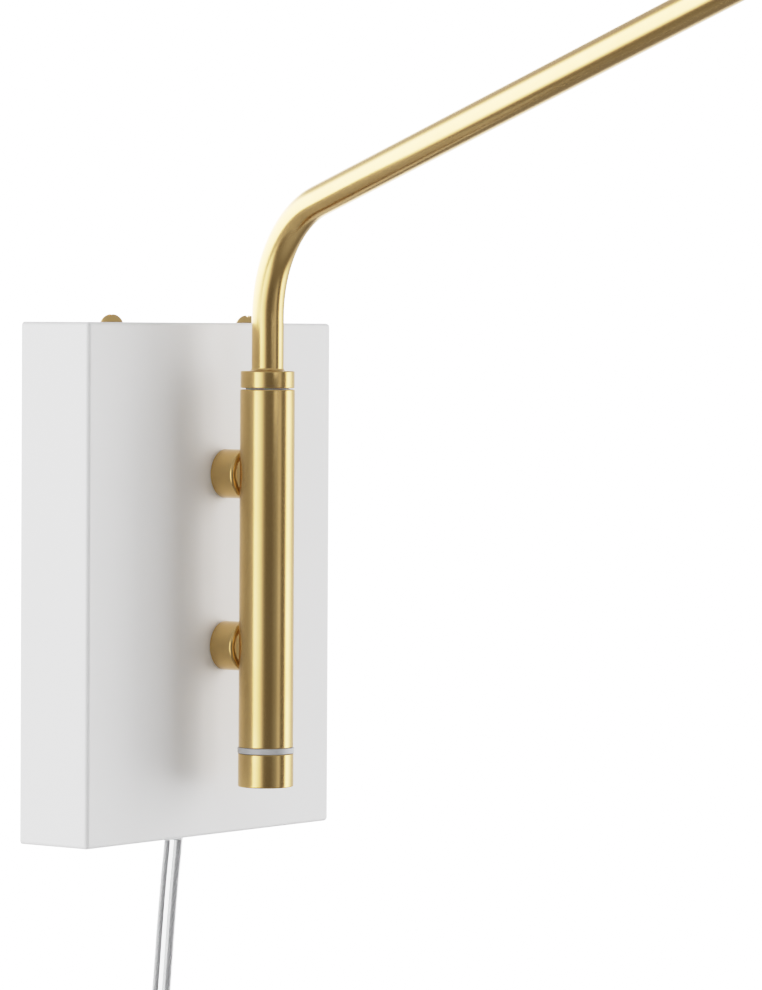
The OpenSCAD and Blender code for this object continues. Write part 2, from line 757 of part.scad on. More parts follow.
box_cover();
wall_bracket();
cover_screws();
stiffener_plate();
standoff_upper();
standoff_lower();
standoff_nipple();
nipple_washer();
nipple_nut();
standoff_washer();
standoff_screw();
barrel();
upper_bush();
lower_bush();
friction_washer();
cord_grommet();
cord_tail();
wire_caps();
box_leads();
swivel_collar();
spindle();
stop_pin();
spring_washer();
spindle_nut();
end_cap();
arm_tube();
arm_wires();
knuckle_fork();
pivot_screw();
pivot_nut();
tilt_washers();
knuckle_tongue();
stem_nut();
socket_cup();
lamp_socket();
socket_leads();
shade();
shade_ring();
bulb_base();
bulb_glass();
switch_stem();
switch_knob();
cord_lead();
cord_hank();
cord_end();
cord_tie();
plug_body();
plug_blades();
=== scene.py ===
"""A swing arm wall sconce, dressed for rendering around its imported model.

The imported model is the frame: every size and place comes from it. Each sub-assembly is a class that
builds its finer meshes, gives every piece its finish and lets it ride on its body.
"""

from __future__ import annotations

import json
import logging
import math
from dataclasses import dataclass, field
from enum import Enum
from typing import Any, Callable, Iterable, Sequence

import bpy
import bmesh
from mathutils import Matrix, Vector


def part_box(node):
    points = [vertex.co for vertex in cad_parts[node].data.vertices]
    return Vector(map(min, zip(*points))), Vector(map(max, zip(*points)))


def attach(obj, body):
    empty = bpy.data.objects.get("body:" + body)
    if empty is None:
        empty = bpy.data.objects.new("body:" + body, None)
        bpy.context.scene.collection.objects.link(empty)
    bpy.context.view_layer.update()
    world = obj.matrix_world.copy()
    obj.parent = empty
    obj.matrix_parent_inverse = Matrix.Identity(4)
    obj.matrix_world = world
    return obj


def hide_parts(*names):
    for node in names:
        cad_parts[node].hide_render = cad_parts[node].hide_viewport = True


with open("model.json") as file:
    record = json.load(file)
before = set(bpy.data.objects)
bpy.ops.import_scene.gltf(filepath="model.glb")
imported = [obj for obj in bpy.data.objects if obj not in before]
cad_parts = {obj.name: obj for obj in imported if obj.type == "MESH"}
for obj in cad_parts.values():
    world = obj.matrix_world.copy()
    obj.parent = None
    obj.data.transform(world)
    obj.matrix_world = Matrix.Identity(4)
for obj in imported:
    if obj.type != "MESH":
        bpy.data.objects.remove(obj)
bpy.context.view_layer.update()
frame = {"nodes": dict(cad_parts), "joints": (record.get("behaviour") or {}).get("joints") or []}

log = logging.getLogger("sconce")
MM = 0.001
# How far a cutter goes past a sheet on each side, in millimetres
CUT = 3.0
Point = Sequence[float]


# ---------------------------------------------------------------- shader expressions


class Value:
    """A socket in a material's node tree that takes part in arithmetic."""

    def __init__(self, graph: "Graph", socket: bpy.types.NodeSocket) -> None:
        """Wrap a socket.

        Args:
            graph: The graph that the socket belongs to.
            socket: The output socket to wrap.
        """
        self.graph = graph
        self.socket = socket

    def _math(self, operation: str, first: Any, second: Any) -> "Value":
        """Add a Math node on two values.

        Args:
            operation: The Math node's operation.
            first: A value or number.
            second: A value or number.

        Returns:
            The node's result.
        """
        return self.graph.node("ShaderNodeMath", {"operation": operation}, {0: first, 1: second})

    def __add__(self, other: Any) -> "Value":
        """Add."""
        return self._math("ADD", self, other)

    def __radd__(self, other: Any) -> "Value":
        """Add, with this value on the right."""
        return self._math("ADD", other, self)

    def __sub__(self, other: Any) -> "Value":
        """Subtract."""
        return self._math("SUBTRACT", self, other)

    def __rsub__(self, other: Any) -> "Value":
        """Subtract this value from another."""
        return self._math("SUBTRACT", other, self)

    def __mul__(self, other: Any) -> "Value":
        """Multiply."""
        return self._math("MULTIPLY", self, other)

    def __rmul__(self, other: Any) -> "Value":
        """Multiply, with this value on the right."""
        return self._math("MULTIPLY", other, self)

    def __truediv__(self, other: Any) -> "Value":
        """Divide."""
        return self._math("DIVIDE", self, other)

    def clamp(self) -> "Value":
        """Return the value held between 0 and 1."""
        return self.graph.node("ShaderNodeClamp", {}, {"Value": self})


class Graph:
    """A node tree that is filled through one method."""

    def __init__(self, tree: bpy.types.NodeTree) -> None:
        """Empty a node tree.

        Args:
            tree: The tree of a material or a world.
        """
        self.tree = tree
        tree.nodes.clear()

    def raw(self, kind: str, settings: dict[str, Any], inputs: dict[Any, Any]) -> bpy.types.Node:
        """Create a node, set it up and fill its sockets.

        Args:
            kind: The node's type name.
            settings: The node's own settings; "stops" holds a ramp's (place, colour) pairs.
            inputs: A value, link or number for each named or numbered socket.

        Returns:
            The node.
        """
        node = self.tree.nodes.new(kind)
        for name, setting in settings.items():
            if name == "stops":
                self._set_stops(node.color_ramp, setting)
            else:
                setattr(node, name, setting)
        for name, given in inputs.items():
            if isinstance(given, Value):
                self.tree.links.new(given.socket, node.inputs[name])
            else:
                node.inputs[name].default_value = given
        return node

    def node(self, kind: str, settings: dict[str, Any], inputs: dict[Any, Any], out: Any = 0) -> Value:
        """Create a node and return one of its results.

        Args:
            kind: The node's type name.
            settings: The node's own settings.
            inputs: A value, link or number for each named or numbered socket.
            out: The name or number of the result.

        Returns:
            The result.
        """
        return Value(self, self.raw(kind, settings, inputs).outputs[out])

    @staticmethod
    def _set_stops(ramp: bpy.types.ColorRamp, stops: Sequence[tuple[float, Sequence[float]]]) -> None:
        """Give a colour ramp its stops.

        Args:
            ramp: The ramp.
            stops: Pairs of a place from 0 to 1 and a colour of three numbers.
        """
        while len(ramp.elements) < len(stops):
            ramp.elements.new(0.5)
        for element, (place, colour) in zip(ramp.elements, stops):
            element.position = place
            element.color = (*colour, 1.0)

    def place(self, kind: str, scale: Point) -> Value:
        """Return texture coordinates, scaled.

        Args:
            kind: "Object" or "UV".
            scale: Repeats per metre along each axis.

        Returns:
            The coordinates.
        """
        source = self.node("ShaderNodeTexCoord", {}, {}, kind)
        return self.node("ShaderNodeVectorMath", {"operation": "MULTIPLY"}, {0: source, 1: tuple(scale)})

    def noise(self, at: Value, detail: float = 3.0, roughness: float = 0.55) -> Value:
        """Return fractal noise from 0 to 1 at some coordinates."""
        inputs = {"Vector": at, "Scale": 1.0, "Detail": detail, "Roughness": roughness}
        return self.node("ShaderNodeTexNoise", {}, inputs)

    def blend(self, share: Any, first: Any, second: Any) -> Value:
        """Mix two colours by a share."""
        settings = {"data_type": "RGBA"}
        return self.node("ShaderNodeMix", settings, {0: share, 6: first, 7: second}, 2)

    def bump(self, height: Value, distance: float, strength: float = 1.0) -> Value:
        """Turn a height into a normal.

        Args:
            height: The height, from 0 to 1.
            distance: The height that 1 stands for, in metres.
            strength: The share of the effect.

        Returns:
            The normal.
        """
        inputs = {"Height": height, "Distance": distance, "Strength": strength}
        return self.node("ShaderNodeBump", {}, inputs)

    def finish_with(self, **sockets: Any) -> None:
        """Add a Principled shader with these sockets and lead it to the output.

        Args:
            sockets: Socket names, with "_" for a space, and their values.
        """
        inputs = {name.replace("_", " "): given for name, given in sockets.items()}
        shader = self.node("ShaderNodeBsdfPrincipled", {}, inputs)
        self.raw("ShaderNodeOutputMaterial", {}, {"Surface": shader})


def rgb(colour: Point) -> tuple[float, float, float, float]:
    """Return a colour with full alpha."""
    return (colour[0], colour[1], colour[2], 1.0)


# ---------------------------------------------------------------- finishes


class Finish:
    """A finish that makes its material once and shares it."""

    _made: dict[str, bpy.types.Material] = {}

    def material(self) -> bpy.types.Material:
        """Return the material, made on its first use."""
        key = repr(self)
        if key not in Finish._made:
            made = bpy.data.materials.new(type(self).__name__.lower())
            made.use_nodes = True
            self.paint(Graph(made.node_tree))
            Finish._made[key] = made
        return Finish._made[key]

    def paint(self, graph: Graph) -> None:
        """Fill the material's node tree."""
        raise NotImplementedError

    def dress(self, piece: bpy.types.Object) -> None:
        """Give a piece this finish in every slot."""
        piece.data.materials.clear()
        piece.data.materials.append(self.material())
        for polygon in piece.data.polygons:
            polygon.material_index = 0


class Lay(Enum):
    """Which way the fine lines of a metal run, and where its coordinates come from."""

    AROUND = "lines run round a turned piece"
    ALONG = "lines run along a drawn piece"
    CAST = "no direction"


@dataclass(frozen=True)
class Brass(Finish):
    """Satin brass under a thin clear lacquer, with fine lines from the finishing belt."""

    lay: Lay = Lay.AROUND
    colour: tuple[float, float, float] = (0.62, 0.42, 0.165)
    worn: tuple[float, float, float] = (0.57, 0.37, 0.135)
    roughness: float = 0.22

    def _lines(self, graph: Graph) -> Value:
        """Return the fine lines, from 0 to 1."""
        if self.lay is Lay.CAST:
            return graph.noise(graph.place("Object", (2600, 2600, 2600)), 2.0)
        around, along = (40, 9000) if self.lay is Lay.AROUND else (900, 60)
        return graph.noise(graph.place("UV", (around, along, 1)), 3.0, 0.6)

    def paint(self, graph: Graph) -> None:
        """Fill the node tree: tarnish clouds, line bump and uneven gloss."""
        clouds = graph.noise(graph.place("Object", (38, 38, 38)), 4.0)
        specks = graph.noise(graph.place("Object", (900, 900, 900)), 2.0)
        lines = self._lines(graph)
        share = ((clouds - 0.42) * 2.2).clamp()
        tint = graph.blend(share, rgb(self.colour), rgb(self.worn))
        graph.finish_with(
            Base_Color=graph.blend((specks - 0.55).clamp() * 0.8, tint, rgb(self.worn)),
            Metallic=1.0,
            Roughness=lines * 0.12 + clouds * 0.06 + (self.roughness - 0.09),
            Coat_Weight=0.12,
            Coat_Roughness=0.12,
            Normal=graph.bump(lines, 0.000004, 0.7),
        )


@dataclass(frozen=True)
class PowderCoat(Finish):
    """White satin powder coat with a slight orange peel."""

    colour: tuple[float, float, float] = (0.84, 0.84, 0.845)
    shade: tuple[float, float, float] = (0.815, 0.815, 0.82)

    def paint(self, graph: Graph) -> None:
        """Fill the node tree: orange peel bump, fine grain and a hint of unevenness."""
        peel = graph.noise(graph.place("Object", (420, 420, 420)), 2.0, 0.4)
        grain = graph.noise(graph.place("Object", (2600, 2600, 2600)), 2.0)
        clouds = graph.noise(graph.place("Object", (14, 14, 14)), 3.0)
        graph.finish_with(
            Base_Color=graph.blend(clouds, rgb(self.colour), rgb(self.shade)),
            Roughness=peel * 0.10 + grain * 0.06 + 0.36,
            Specular_IOR_Level=0.45,
            Normal=graph.bump(peel * 0.8 + grain * 0.2, 0.00003, 0.5),
        )


@dataclass(frozen=True)
class Plated(Finish):
    """Bright plated steel or nickel."""

    colour: tuple[float, float, float] = (0.60, 0.61, 0.63)
    dull: tuple[float, float, float] = (0.50, 0.51, 0.52)
    roughness: float = 0.30
    metallic: float = 1.0

    def paint(self, graph: Graph) -> None:
        """Fill the node tree: spangle, fine scratches and uneven gloss."""
        where = graph.place("Object", (260, 260, 260))
        spangle = graph.node("ShaderNodeTexVoronoi", {}, {"Vector": where, "Scale": 1.0})
        scratches = graph.noise(graph.place("Object", (300, 2400, 300)), 4.0, 0.7)
        graph.finish_with(
            Base_Color=graph.blend(spangle.clamp(), rgb(self.colour), rgb(self.dull)),
            Metallic=self.metallic,
            Roughness=scratches * 0.18 + (self.roughness - 0.08),
            Normal=graph.bump(scratches, 0.000006, 0.5),
        )


@dataclass(frozen=True)
class Moulded(Finish):
    """Moulded plastic, from satin to gloss, in one colour with a moulded grain."""

    colour: tuple[float, float, float] = (0.86, 0.86, 0.85)
    second: tuple[float, float, float] = (0.82, 0.82, 0.80)
    roughness: float = 0.42
    grain: float = 1400.0
    depth: float = 0.00001
    subsurface: float = 0.0

    def paint(self, graph: Graph) -> None:
        """Fill the node tree: flow marks, grain and uneven gloss."""
        flow = graph.noise(graph.place("Object", (60, 60, 25)), 3.0)
        grain = graph.noise(graph.place("Object", (self.grain,) * 3), 2.0)
        graph.finish_with(
            Base_Color=graph.blend(flow, rgb(self.colour), rgb(self.second)),
            Roughness=grain * 0.12 + (self.roughness - 0.06),
            Subsurface_Weight=self.subsurface,
            Subsurface_Scale=0.002,
            Normal=graph.bump(grain, self.depth, 0.6),
        )


@dataclass(frozen=True)
class ClearPlastic(Finish):
    """Clear soft plastic of a cord or plug, a little cloudy, with drawing lines."""

    colour: tuple[float, float, float] = (0.82, 0.825, 0.83)
    cloudy: tuple[float, float, float] = (0.73, 0.74, 0.75)
    roughness: float = 0.12
    transmission: float = 0.78

    def paint(self, graph: Graph) -> None:
        """Fill the node tree: faint haze, drawing lines and uneven gloss."""
        haze = graph.noise(graph.place("Object", (220, 220, 60)), 3.0)
        lines = graph.noise(graph.place("Object", (1500, 1500, 120)), 2.0)
        graph.finish_with(
            Base_Color=graph.blend(haze, rgb(self.colour), rgb(self.cloudy)),
            Roughness=lines * 0.10 + (self.roughness - 0.05),
            IOR=1.46,
            Transmission_Weight=self.transmission,
            Normal=graph.bump(lines, 0.00001, 0.5),
        )


@dataclass(frozen=True)
class Strands(Finish):
    """Tinned copper strands, twisted into a conductor."""

    bright: tuple[float, float, float] = (0.46, 0.46, 0.465)
    # Darker colour for the grooves between strands: painted shade, not the metal's own colour
    painted_groove_shade: tuple[float, float, float] = (0.15, 0.15, 0.155)

    def paint(self, graph: Graph) -> None:
        """Fill the node tree: painted shade in the grooves between strands, and a bump along them."""
        twist = graph.node(
            "ShaderNodeTexWave",
            {"bands_direction": "DIAGONAL", "wave_profile": "SIN"},
            {"Vector": graph.place("UV", (6.0, 260.0, 1.0)), "Scale": 1.0, "Distortion": 0.4},
            1,
        )
        graph.finish_with(
            Base_Color=graph.blend(twist, rgb(self.painted_groove_shade), rgb(self.bright)),
            Metallic=0.9,
            Roughness=0.30 + twist * 0.1,
            Normal=graph.bump(twist, 0.0001, 0.6),
        )


@dataclass(frozen=True)
class FrostedGlass(Finish):
    """The bulb's glass, coated white inside."""

    colour: tuple[float, float, float] = (0.93, 0.93, 0.92)
    thin: tuple[float, float, float] = (0.87, 0.87, 0.86)

    def paint(self, graph: Graph) -> None:
        """Fill the node tree: an uneven inner coat under smooth glass."""
        coat = graph.noise(graph.place("Object", (110, 110, 110)), 3.0)
        grain = graph.noise(graph.place("Object", (1800, 1800, 1800)), 2.0)
        graph.finish_with(
            Base_Color=graph.blend(coat, rgb(self.colour), rgb(self.thin)),
            Roughness=grain * 0.1 + 0.22,
            Subsurface_Weight=0.3,
            Subsurface_Scale=0.004,
            Coat_Weight=0.6,
            Coat_Roughness=0.05,
            Normal=graph.bump(grain, 0.000004, 0.4),
        )


@dataclass(frozen=True)
class Webbing(Finish):
    """The woven strap of the cord tie."""

    colour: tuple[float, float, float] = (0.80, 0.80, 0.79)
    # Darker colour for the grooves between threads: painted shade, not the strap's own colour
    groove: tuple[float, float, float] = (0.55, 0.55, 0.54)

    def paint(self, graph: Graph) -> None:
        """Fill the node tree: two crossing sets of threads, with painted shade in the grooves between them.
        """
        across, along = (
            graph.node("ShaderNodeTexWave", {"wave_profile": "SIN", "bands_direction": way},
                       {"Vector": graph.place("Object", scale), "Scale": 1.0}, 1)
            for way, scale in (("Z", (1, 1, 320)), ("DIAGONAL", (240, 240, 0))))
        weave = across * along
        graph.finish_with(
            Base_Color=graph.blend(weave, rgb(self.groove), rgb(self.colour)),
            Roughness=0.9 - weave * 0.1,
            Sheen_Weight=0.3,
            Normal=graph.bump(weave, 0.0002, 0.7),
        )


BRASS_TURNED = Brass(Lay.AROUND)
BRASS_DRAWN = Brass(Lay.ALONG, roughness=0.22)
BRASS_CAST = Brass(Lay.CAST, roughness=0.3)
ZINC = Plated()
NICKEL = Plated((0.66, 0.64, 0.60), (0.58, 0.56, 0.52), 0.2)
SATIN_STEEL = Plated((0.56, 0.565, 0.575), (0.48, 0.485, 0.495), 0.62, 0.35)
NYLON = Moulded((0.84, 0.84, 0.83), (0.78, 0.78, 0.77), 0.45, subsurface=0.2)
PHENOLIC = Moulded((0.80, 0.79, 0.75), (0.74, 0.73, 0.69), 0.35)
BLACK = Moulded((0.022, 0.022, 0.023), (0.03, 0.03, 0.03), 0.28)
INSULATION = Moulded((0.80, 0.80, 0.78), (0.72, 0.72, 0.70), 0.5)
CRIMP = Moulded((0.72, 0.26, 0.05), (0.62, 0.20, 0.04), 0.35)


# ---------------------------------------------------------------- meshes


def arc(centre: Point, radius: float, start: float, end: float, steps: int) -> list[tuple[float, float]]:
    """Return points along an arc.

    Args:
        centre: The arc's centre.
        radius: Its radius.
        start: The first angle, in degrees.
        end: The last angle, in degrees.
        steps: How many pieces the arc has.

    Returns:
        The points, both ends included.
    """
    angles = [math.radians(start + (end - start) * i / steps) for i in range(steps + 1)]
    return [(centre[0] + radius * math.cos(a), centre[1] + radius * math.sin(a)) for a in angles]


def shares(count: int) -> list[float]:
    """Return the places from 0 to 1 that part a whole into equal pieces."""
    return [k / count for k in range(count + 1)]


def eased(corners: Sequence[tuple[float, float, float]], closed: bool,
          steps: int = 4) -> list[tuple[float, float]]:
    """Round the corners of an outline.

    Args:
        corners: Points with the radius of each corner, 0 where it stays sharp.
        closed: Whether the last point joins the first.
        steps: How many pieces each round has.

    Returns:
        The outline's points.
    """
    points: list[tuple[float, float]] = []
    count = len(corners)
    for i, (x, y, radius) in enumerate(corners):
        here = Vector((x, y))
        if radius <= 0 or (not closed and i in (0, count - 1)):
            points.append((x, y))
            continue
        before = Vector(corners[i - 1][:2]) - here
        after = Vector(corners[(i + 1) % count][:2]) - here
        half = before.angle(after) / 2
        reach = min(radius / math.tan(half), 0.49 * before.length, 0.49 * after.length)
        first, last = here + before.normalized() * reach, here + after.normalized() * reach
        for k in range(steps + 1):
            t = k / steps
            curve = first * (1 - t) ** 2 + here * 2 * t * (1 - t) + last * t * t
            points.append((curve.x, curve.y))
    return points


class Draft:
    """A mesh while it is drawn: vertices, faces and a UV for each corner."""

    def __init__(self) -> None:
        """Start with nothing drawn."""
        self.points: list[Vector] = []
        self.faces: list[list[int]] = []
        self.uvs: list[list[tuple[float, float]]] = []

    def face(self, corners: Sequence[int], uvs: Sequence[tuple[float, float]]) -> None:
        """Add a face.

        Args:
            corners: Its vertices' numbers.
            uvs: A UV for each corner.
        """
        self.faces.append(list(corners))
        self.uvs.append(list(uvs))

    def grid(self, rows: Sequence[Sequence[Vector]], us: Sequence[float], vs: Sequence[float],
             wrap_rows: bool = False, wrap_columns: bool = True) -> int:
        """Add a grid of quads.

        Args:
            rows: Rows of points, all of one length.
            us: A U for each column, and one more where columns wrap.
            vs: A V for each row, and one more where rows wrap.
            wrap_rows: Whether the last row joins the first.
            wrap_columns: Whether the last column joins the first.

        Returns:
            The number of the first vertex.
        """
        base, width = len(self.points), len(rows[0])
        for row in rows:
            self.points.extend(row)
        for j in range(len(rows) if wrap_rows else len(rows) - 1):
            for i in range(width if wrap_columns else width - 1):
                k, m = (i + 1) % width, (j + 1) % len(rows)
                here, above = base + j * width, base + m * width
                corners = [here + i, here + k, above + k, above + i]
                uvs = [(us[i], vs[j]), (us[i + 1], vs[j]), (us[i + 1], vs[j + 1]), (us[i], vs[j + 1])]
                self.face(corners, uvs)
        return base

    def cap(self, first: int, count: int, flip: bool) -> None:
        """Close a ring of vertices with one face.

        Args:
            first: The ring's first vertex.
            count: How many vertices it has.
            flip: Whether the face looks the other way.
        """
        ring = list(range(first, first + count))
        if flip:
            ring.reverse()
        self.face(ring, [(0.0, 0.0)] * count)

    def tube(self, rows: Sequence[Sequence[Vector]], vs: Sequence[float]) -> None:
        """Add rings of points joined into a tube with both ends closed.

        Args:
            rows: The rings, all of one length.
            vs: A V for each ring.
        """
        count = len(rows[0])
        first = self.grid(rows, shares(count), vs)
        self.cap(first, count, True)
        self.cap(first + (len(rows) - 1) * count, count, False)

    def object(self, name: str, place: Matrix | None = None, sharp: float = 38.0) -> bpy.types.Object:
        """Turn the draft into an object with smooth faces and sharp corners.

        Args:
            name: The object's name.
            place: The frame that the points are in.
            sharp: The angle over which an edge stays sharp, in degrees.

        Returns:
            The object, linked to the scene.
        """
        mesh = bpy.data.meshes.new(name)
        points = [place @ p for p in self.points] if place else self.points
        mesh.from_pydata([tuple(p) for p in points], [], self.faces)
        layer = mesh.uv_layers.new(name="UVMap")
        flat = [uv for face in self.uvs for uv in face]
        for loop, uv in zip(layer.data, flat):
            loop.uv = uv
        return settle(name, mesh, sharp)


def settle(name: str, mesh: bpy.types.Mesh, sharp: float = 38.0) -> bpy.types.Object:
    """Clean a mesh, shade it smooth and link it.

    Args:
        name: The object's name.
        mesh: Its mesh.
        sharp: The angle over which an edge stays sharp, in degrees.

    Returns:
        The object.
    """
    work = bmesh.new()
    work.from_mesh(mesh)
    bmesh.ops.remove_doubles(work, verts=work.verts, dist=1e-7)
    bmesh.ops.dissolve_degenerate(work, dist=1e-7, edges=work.edges)
    bmesh.ops.recalc_face_normals(work, faces=work.faces)
    work.to_mesh(mesh)
    work.free()
    mesh.polygons.foreach_set("use_smooth", [True] * len(mesh.polygons))
    mesh.set_sharp_from_angle(angle=math.radians(sharp))
    made = bpy.data.objects.new(name, mesh)
    bpy.context.scene.collection.objects.link(made)
    return made


def lathe(name: str, outline: Sequence[tuple[float, float]], place: Matrix, closed: bool = True,
          segments: int = 96, sharp: float = 38.0) -> bpy.types.Object:
    """Turn an outline about the Z axis of a frame.

    Args:
        name: The object's name.
        outline: Pairs of radius and height, in millimetres.
        place: The frame.
        closed: Whether the last point joins the first; else both ends lie on the axis.
        segments: How many steps go round.
        sharp: The angle over which an edge stays sharp, in degrees.

    Returns:
        The object.
    """
    draft = Draft()
    outline = [(r * MM, z * MM) for r, z in outline]
    turns = [2 * math.pi * k / segments for k in range(segments)]
    rows = [[Vector((r * math.cos(a), r * math.sin(a), z)) for a in turns] for r, z in outline]
    steps = [math.dist(p, q) for p, q in zip(outline, [*outline[1:], outline[0]])]
    vs = [sum(steps[:i]) for i in range(len(outline) + 1)]
    draft.grid(rows, shares(segments), vs, wrap_rows=closed)
    return draft.object(name, place, sharp)


def bored(outer: float, inner: float, low: float, high: float, ease: float, inner_ease: float = 0.0) -> list:
    """Return a ring's outline with eased edges.

    Args:
        outer: The outer radius.
        inner: The bore's radius.
        low: The lower end.
        high: The upper end.
        ease: The radius of the outer edges.
        inner_ease: The radius of the bore's edges.

    Returns:
        The outline, closed.
    """
    corners = [(inner, low, inner_ease), (outer, low, ease), (outer, high, ease), (inner, high, inner_ease)]
    return eased(corners, closed=True)


def heading_at(line: Sequence[Vector], i: int) -> Vector:
    """Return the direction of a line at one of its points."""
    return (line[min(i + 1, len(line) - 1)] - line[max(i - 1, 0)]).normalized()


def swept(name: str, line: Sequence[Vector], widths: Sequence[Vector],
          section: Sequence[tuple[float, float]]) -> bpy.types.Object:
    """Sweep a closed section along a line.

    Args:
        name: The object's name.
        line: The centreline.
        widths: The section's first axis at each point.
        section: Pairs of places across the width and the thickness.

    Returns:
        The object.
    """
    draft, rows, run = Draft(), [], [0.0]
    for i, point in enumerate(line):
        heading = heading_at(line, i)
        width = (widths[i] - heading * widths[i].dot(heading)).normalized()
        depth = heading.cross(width)
        rows.append([point + width * a + depth * b for a, b in section])
        if i:
            run.append(run[-1] + (point - line[i - 1]).length)
    draft.tube(rows, run)
    return draft.object(name, None, 50.0)


def smooth_line(points: Sequence[Point], step: float) -> list[Vector]:
    """Return a smooth line through points.

    Args:
        points: The points to pass.
        step: The length of a step along the line, in metres.

    Returns:
        The line's points.
    """
    knots = [Vector(p) for p in points]
    knots = [2 * knots[0] - knots[1], *knots, 2 * knots[-1] - knots[-2]]
    line: list[Vector] = []
    for i in range(1, len(knots) - 2):
        a, b, c, d = knots[i - 1 : i + 3]
        pieces = max(1, round((c - b).length / step))
        for k in range(pieces):
            t = k / pieces
            line.append(0.5 * (2 * b + (c - a) * t + (2 * a - 5 * b + 4 * c - d) * t * t
                               + (3 * b - a - 3 * c + d) * t ** 3))
    line.append(knots[-2])
    return line


# ---------------------------------------------------------------- the frame's own places


def joint(name: str) -> dict[str, Any]:
    """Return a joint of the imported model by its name."""
    return next(j for j in frame["joints"] if j["name"] == name)


def box_of(node: str) -> tuple[Vector, Vector]:
    """Return a node's lowest and highest corners."""
    low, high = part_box(node)
    return Vector(low), Vector(high)


@dataclass
class Frames:
    """The frames that the pieces are drawn in, worked out from the joints."""

    rise: float = math.radians(16)
    bend_start: float = 104 * MM
    bend_radius: float = 47 * MM
    swing: Vector = field(init=False)
    tilt: Vector = field(init=False)
    barrel: Matrix = field(init=False)
    arm: Matrix = field(init=False)
    along: Matrix = field(init=False)
    head: Matrix = field(init=False)
    knob: Matrix = field(init=False)

    def __post_init__(self) -> None:
        """Read the joints' places and build each frame."""
        self.swing = Vector(joint("arm_swing")["pos_m"])
        self.tilt = Vector(joint("shade_tilt")["pos_m"])
        reach = self.tilt - self.swing
        yaw = math.atan2(reach.y, reach.x)
        self.barrel = Matrix.Translation(self.swing)
        self.arm = self.barrel @ Matrix.Rotation(yaw, 4, "Z")
        bend = math.pi / 2 - self.rise
        self.along = self.arm @ Matrix.Translation(self._bent(bend)) @ Matrix.Rotation(-self.rise, 4, "Y")
        upside_down = Matrix.Rotation(math.pi, 4, "X")
        self.head = Matrix.Translation(self.tilt) @ Matrix.Rotation(yaw, 4, "Z") @ upside_down
        height = self.tilt.z - Vector(joint("switch_turn")["pos_m"]).z
        self.knob = self.head @ Matrix.Translation((0, 0, height)) @ Matrix.Rotation(-math.pi / 2, 4, "X")

    def _bent(self, angle: float) -> Vector:
        """Return the centreline's point some angle into the bend, in the arm's frame."""
        out = self.bend_radius * (1 - math.cos(angle))
        return Vector((out, 0, self.bend_start + self.bend_radius * math.sin(angle)))

    def arm_line(self, start: float, straight: float, step: float) -> list[Vector]:
        """Return the arm's centreline.

        Args:
            start: The height on the swing axis where it begins.
            straight: How far it runs past the bend.
            step: The length of a step.

        Returns:
            The points in the row's frame.
        """
        bend = math.pi / 2 - self.rise
        rise = self.bend_start - start
        count = max(2, round(rise / step))
        local = [Vector((0, 0, start + rise * k / count)) for k in range(count)]
        count = round(self.bend_radius * bend / step)
        local += [self._bent(bend * k / count) for k in range(count + 1)]
        line = [self.arm @ p for p in local]
        count = max(2, round(straight / step))
        line += [self.along @ Vector((straight * k / count, 0, 0)) for k in range(1, count + 1)]
        return line


class Assembly:
    """A sub-assembly: it makes its pieces, dresses them and lets them ride."""

    body = "wall_unit"

    def __init__(self, frames: Frames) -> None:
        """Keep the frames.

        Args:
            frames: The frames of the whole object.
        """
        self.frames = frames
        self.count = 0

    def add(self, piece: bpy.types.Object, finish: Finish, *nodes: str,
            slot: str | None = None) -> bpy.types.Object:
        """Dress a new piece, let it ride and put it in place of its CAD nodes.

        Args:
            piece: The new piece.
            finish: Its finish.
            nodes: The CAD nodes that it stands for.
            slot: The record's material slot; not used.

        Returns:
            The piece.
        """
        finish.dress(piece)
        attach(piece, self.body)
        if nodes:
            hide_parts(*nodes)
        self.count += 1
        log.info("%s: %s", type(self).__name__, piece.name)
        return piece

    def keep(self, finish: Finish, *nodes: str) -> None:
        """Dress CAD nodes that stay as they are.

        Args:
            finish: Their finish.
            nodes: Their names.
        """
        for node in nodes:
            kept = frame["nodes"][node]
            finish.dress(kept)
            log.info("%s: %s, from the frame", type(self).__name__, node)

    def build(self) -> None:
        """Make every piece of the sub-assembly."""
        raise NotImplementedError


# ---------------------------------------------------------------- work on whole pieces


def applied(piece: bpy.types.Object, sharp: float = 38.0) -> bpy.types.Object:
    """Apply a piece's modifiers and shade it again.

    Args:
        piece: The piece.
        sharp: The angle over which an edge stays sharp, in degrees.

    Returns:
        The piece.
    """
    graph = bpy.context.evaluated_depsgraph_get()
    mesh = bpy.data.meshes.new_from_object(piece.evaluated_get(graph))
    mesh.name = piece.name
    old, piece.data = piece.data, mesh
    piece.modifiers.clear()
    bpy.data.meshes.remove(old)
    mesh.polygons.foreach_set("use_smooth", [True] * len(mesh.polygons))
    mesh.set_sharp_from_angle(angle=math.radians(sharp))
    return piece


def carved(piece: bpy.types.Object, *cutters: bpy.types.Object) -> bpy.types.Object:
    """Cut shapes out of a piece and discard them.

    Args:
        piece: The piece.
        cutters: The shapes.

    Returns:
        The piece.
    """
    for cutter in cutters:
        cut = piece.modifiers.new("cut", "BOOLEAN")
        cut.operation, cut.solver, cut.object = "DIFFERENCE", "EXACT", cutter
    applied(piece)
    for cutter in cutters:
        mesh = cutter.data
        bpy.data.objects.remove(cutter)
        bpy.data.meshes.remove(mesh)
    return piece


def flat_faced(piece: bpy.types.Object) -> bpy.types.Object:
    """Shade a piece's large faces flat, and return the piece."""
    weight = piece.modifiers.new("flats", "WEIGHTED_NORMAL")
    weight.keep_sharp, weight.weight = True, 90
    return piece


